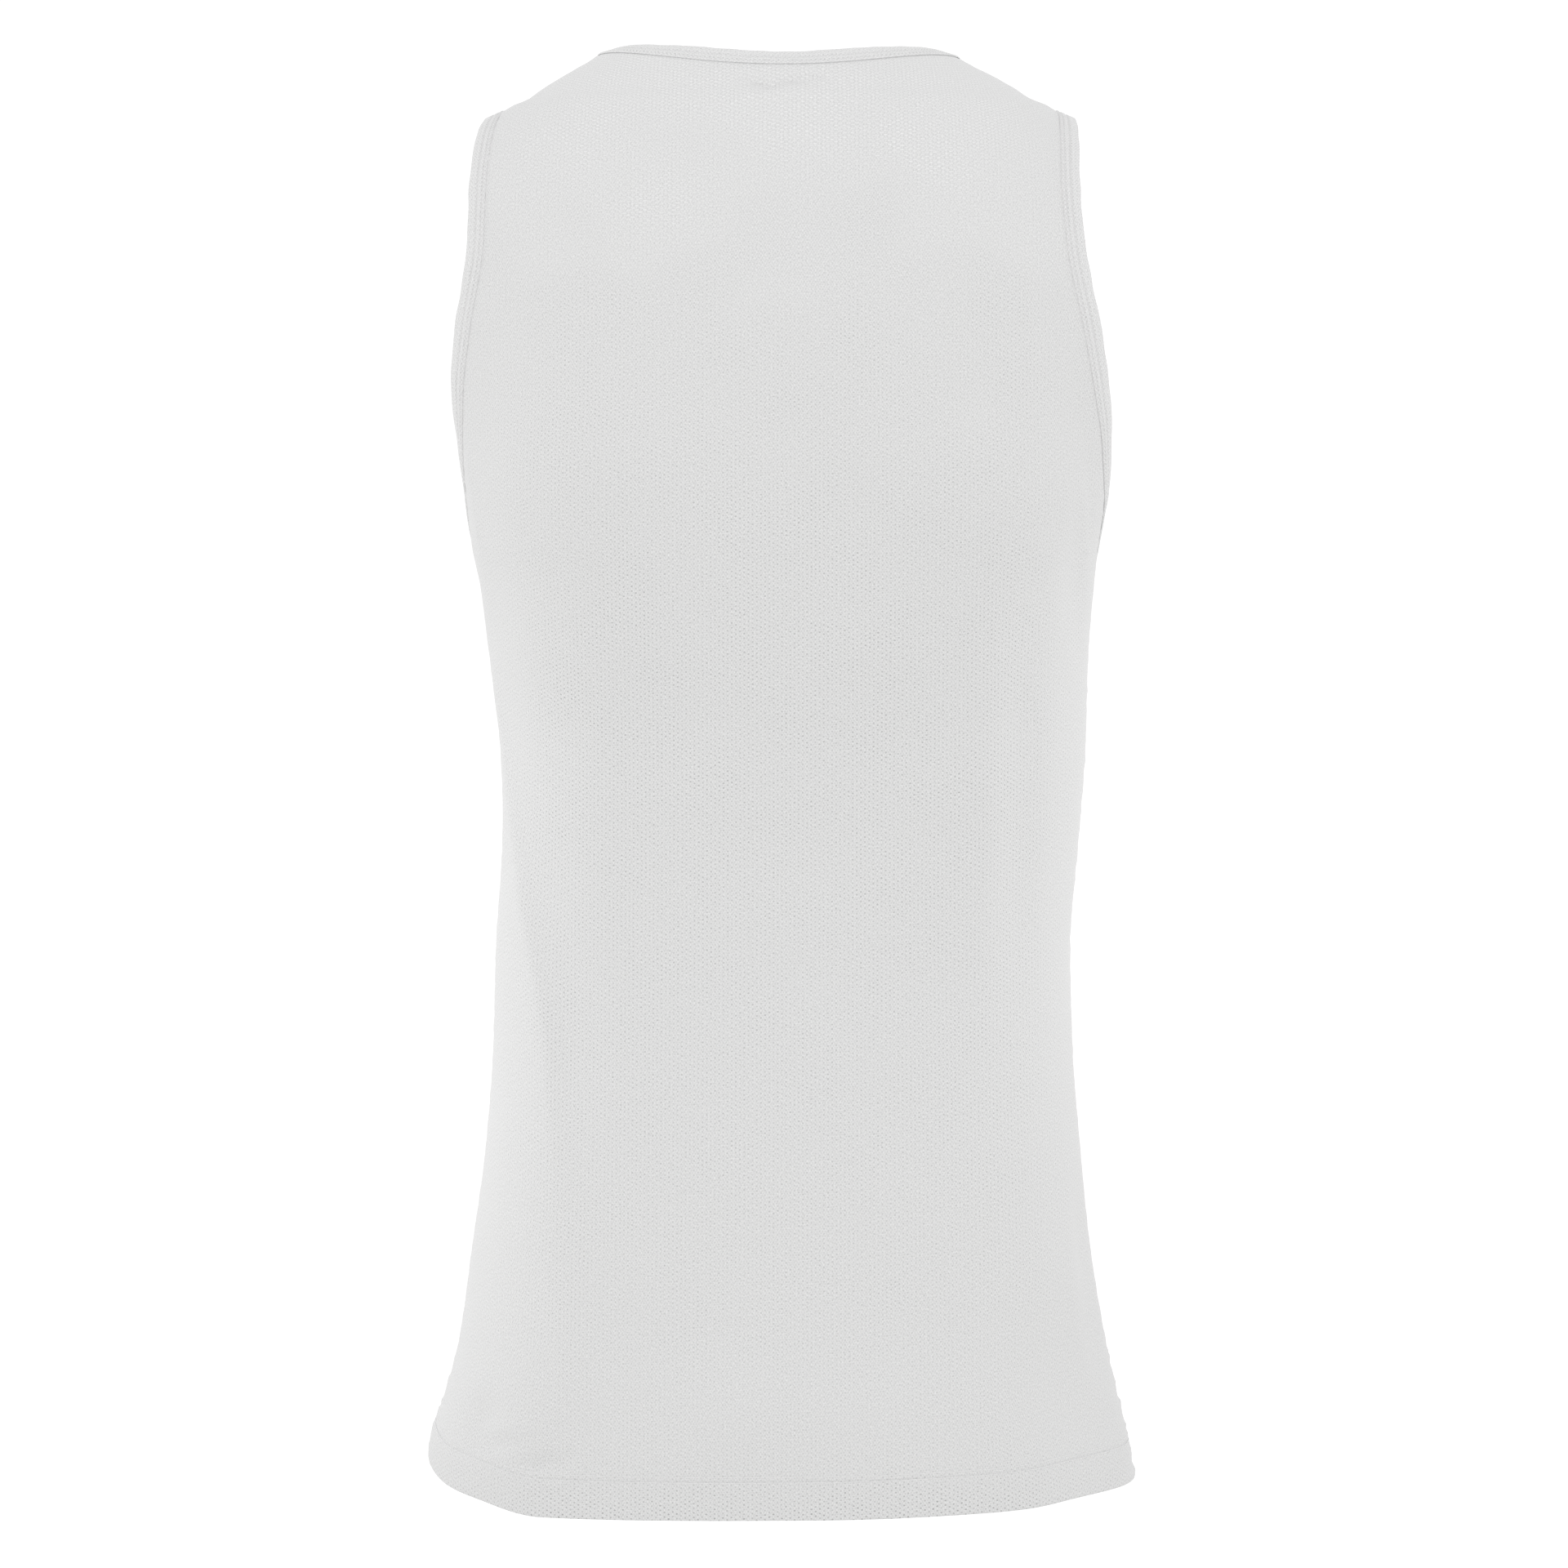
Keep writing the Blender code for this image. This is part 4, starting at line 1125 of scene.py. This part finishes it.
def overlocked_seam(name, rows, column):
    """A seam's two trimmed edges, lying on the back panel's inner face along some of its rows."""
    points, normals = back_cloth["points"][rows], back_cloth["normals"][rows]
    inward = 1 if column == 0 else -1
    edge = points[:, column]
    beyond = unit(points[:, column + SEAM_COLUMNS * inward] - edge)
    normal = normals[:, column + SEAM_COLUMNS // 2 * inward]
    across, deep = np.array(SEAM_SECTION).T[..., None]
    grid = edge[:, None] + beyond[:, None] * across - normal[:, None] * (CLOTH + deep)
    faces = capped_faces(numbered(grid)[None])
    if column != 0:
        faces = [face[::-1] for face in faces]
    run = run_along(edge)
    flat = np.stack(np.meshgrid(np.arange(len(across)) * SEAM_MAP_STEP, run), -1)
    seam = mesh_object(name, grid.reshape(-1, 3), faces, flat, strip_knit)

    loops = max(LEAST_LOOPS, round(run[-1] / OVERLOCK))
    at = np.linspace(OVERLOCK_INSET, run[-1] - OVERLOCK_INSET, loops * 2)
    near, rim = (
        at_places(at, run, edge + beyond * across - normal * (CLOTH + deep))
        for across, deep in (OVERLOCK_NEAR, OVERLOCK_RIM)
    )
    centre = np.where((np.arange(len(at)) % 2 == 0)[:, None], near, rim)
    along, up = np.gradient(centre, axis=0), -at_places(at, run, normal)
    rings = rings_round(centre, along, up, THREAD / 2, LOOPER_SIDES)
    faces = capped_faces(numbered(rings)[None])
    threads = mesh_object(name + "_thread", rings.reshape(-1, 3), faces, None, thread)
    for piece in (seam, threads):
        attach(piece, "root")
    return seam, threads


seams = []
below_arm = slice(len(HEM_ROWS), back_cloth["underarm_row"] + 1)
over_shoulder = slice(back_cloth["tip_row"], len(back_cloth["points"]))
for which, column in (("left", 0), ("right", -1)):
    seams += overlocked_seam(f"side_seam_{which}", below_arm, column)
    seams += overlocked_seam(f"shoulder_seam_{which}", over_shoulder, column)

# Studio

# A plain pale floor well below the hem and a white surround that is a little dimmer overhead. A weak
# sun from behind and a weak soft light at each side, level with the waist, show the cloth's relief. The
# camera is level with the middle of the jersey, 3 m behind it.

FLOOR_HALF, FLOOR_LEVEL = 3.5, -1.45  # m
FLOOR_GRAIN = 0.175  # m, soft patches in the paint

floor_mesh = bpy.data.meshes.new("studio_floor")
corners = [(x * FLOOR_HALF, y * FLOOR_HALF, FLOOR_LEVEL) for x, y in ((-1, -1), (1, -1), (1, 1), (-1, 1))]
floor_mesh.from_pydata(corners, [], [(0, 1, 2, 3)])
floor = bpy.data.objects.new("studio_floor", floor_mesh)
bpy.context.collection.objects.link(floor)
paint = bpy.data.materials.new("matt_white_floor_paint")
paint.use_nodes = True
tree = paint.node_tree
grain = add_node(tree, "TexNoise", {"Scale": 2 * FLOOR_HALF / FLOOR_GRAIN, "Detail": 3.0})
colours = {COLOUR_A: srgb("#ECECEB"), COLOUR_B: srgb("#F2F2F1")}
tone = add_node(tree, "Mix", {FACTOR: grain, **colours}, data_type="RGBA")
shader = tree.nodes["Principled BSDF"]
tree.links.new(tone.outputs[COLOUR_OUT], shader.inputs["Base Color"])
shader.inputs["Roughness"].default_value = 0.9
floor_mesh.materials.append(paint)

# The surround's strength, by the height of the way out to it: 0 at the horizon, and 1 straight up
PALE_UP_TO, DIM_FROM = 0.2, 0.9
PALE, DIM = 1.085, 0.885

world = bpy.data.worlds.new("white_surround")
world.use_nodes = True
tree = world.node_tree
surround = tree.nodes["Background"]
surround.inputs["Color"].default_value = (1.0, 1.0, 1.0, 1.0)
way = add_node(tree, "TexCoord").outputs["Generated"]
height = add_node(tree, "SeparateXYZ", {0: way}).outputs["Z"]
dimming = {"From Min": PALE_UP_TO, "From Max": DIM_FROM, "To Min": PALE, "To Max": DIM}
ceiling = add_node(tree, "MapRange", {"Value": height, **dimming})
tree.links.new(ceiling.outputs["Result"], surround.inputs["Strength"])
bpy.context.scene.world = world

# Aim: m, the level on the jersey's middle that a lamp points at. Degrees: how wide the sun looks, or how
# far a side light spreads. Power: of the sun in W per square metre, of a side light in W.
Lamp = namedtuple("Lamp", "name kind place aim degrees power")
LAMPS = (
    Lamp("soft_key_light", "SUN", (0.5, 2.4, -0.6), -0.5, 69, 0.14),
    Lamp("waist_light_left", "AREA", (0.98, -0.2, -0.52), -0.5, 56, 0.138),
    Lamp("waist_light_right", "AREA", (-0.98, -0.2, -0.43), -0.43, 40, 0.053),
)
SIDE_LIGHT_SIZE = 0.2  # m
for spec in LAMPS:
    lamp = bpy.data.lights.new(spec.name, spec.kind)
    lamp.energy = spec.power
    if spec.kind == "SUN":
        lamp.angle = math.radians(spec.degrees)
    else:
        lamp.shape, lamp.size, lamp.spread = "SQUARE", SIDE_LIGHT_SIZE, math.radians(spec.degrees)
    light = bpy.data.objects.new(spec.name, lamp)
    light.location = spec.place
    x, y, z = np.array([0, 0, spec.aim]) - np.array(spec.place)
    light.rotation_euler = (math.atan2(math.hypot(x, y), -z), 0, math.atan2(y, x) - math.pi / 2)
    bpy.context.collection.objects.link(light)

CAMERA_DISTANCE = 3.0  # m from the plane of the side seams
CAMERA_LEVEL = -0.3972  # m
SENSOR = 36.0  # mm
PHOTO_WIDTH = 1920  # pixels
PIXEL = 0.4443e-3  # m, at the plane of the side seams

camera = bpy.data.objects.new("camera", bpy.data.cameras.new("camera"))
camera.location = (0, CAMERA_DISTANCE, CAMERA_LEVEL)
camera.rotation_euler = (math.pi / 2, 0, math.pi)
camera.data.sensor_width = SENSOR
camera.data.lens = SENSOR * CAMERA_DISTANCE / (PHOTO_WIDTH * PIXEL)
bpy.context.collection.objects.link(camera)
bpy.context.scene.camera = camera
bpy.context.scene.view_settings.view_transform = "Standard"
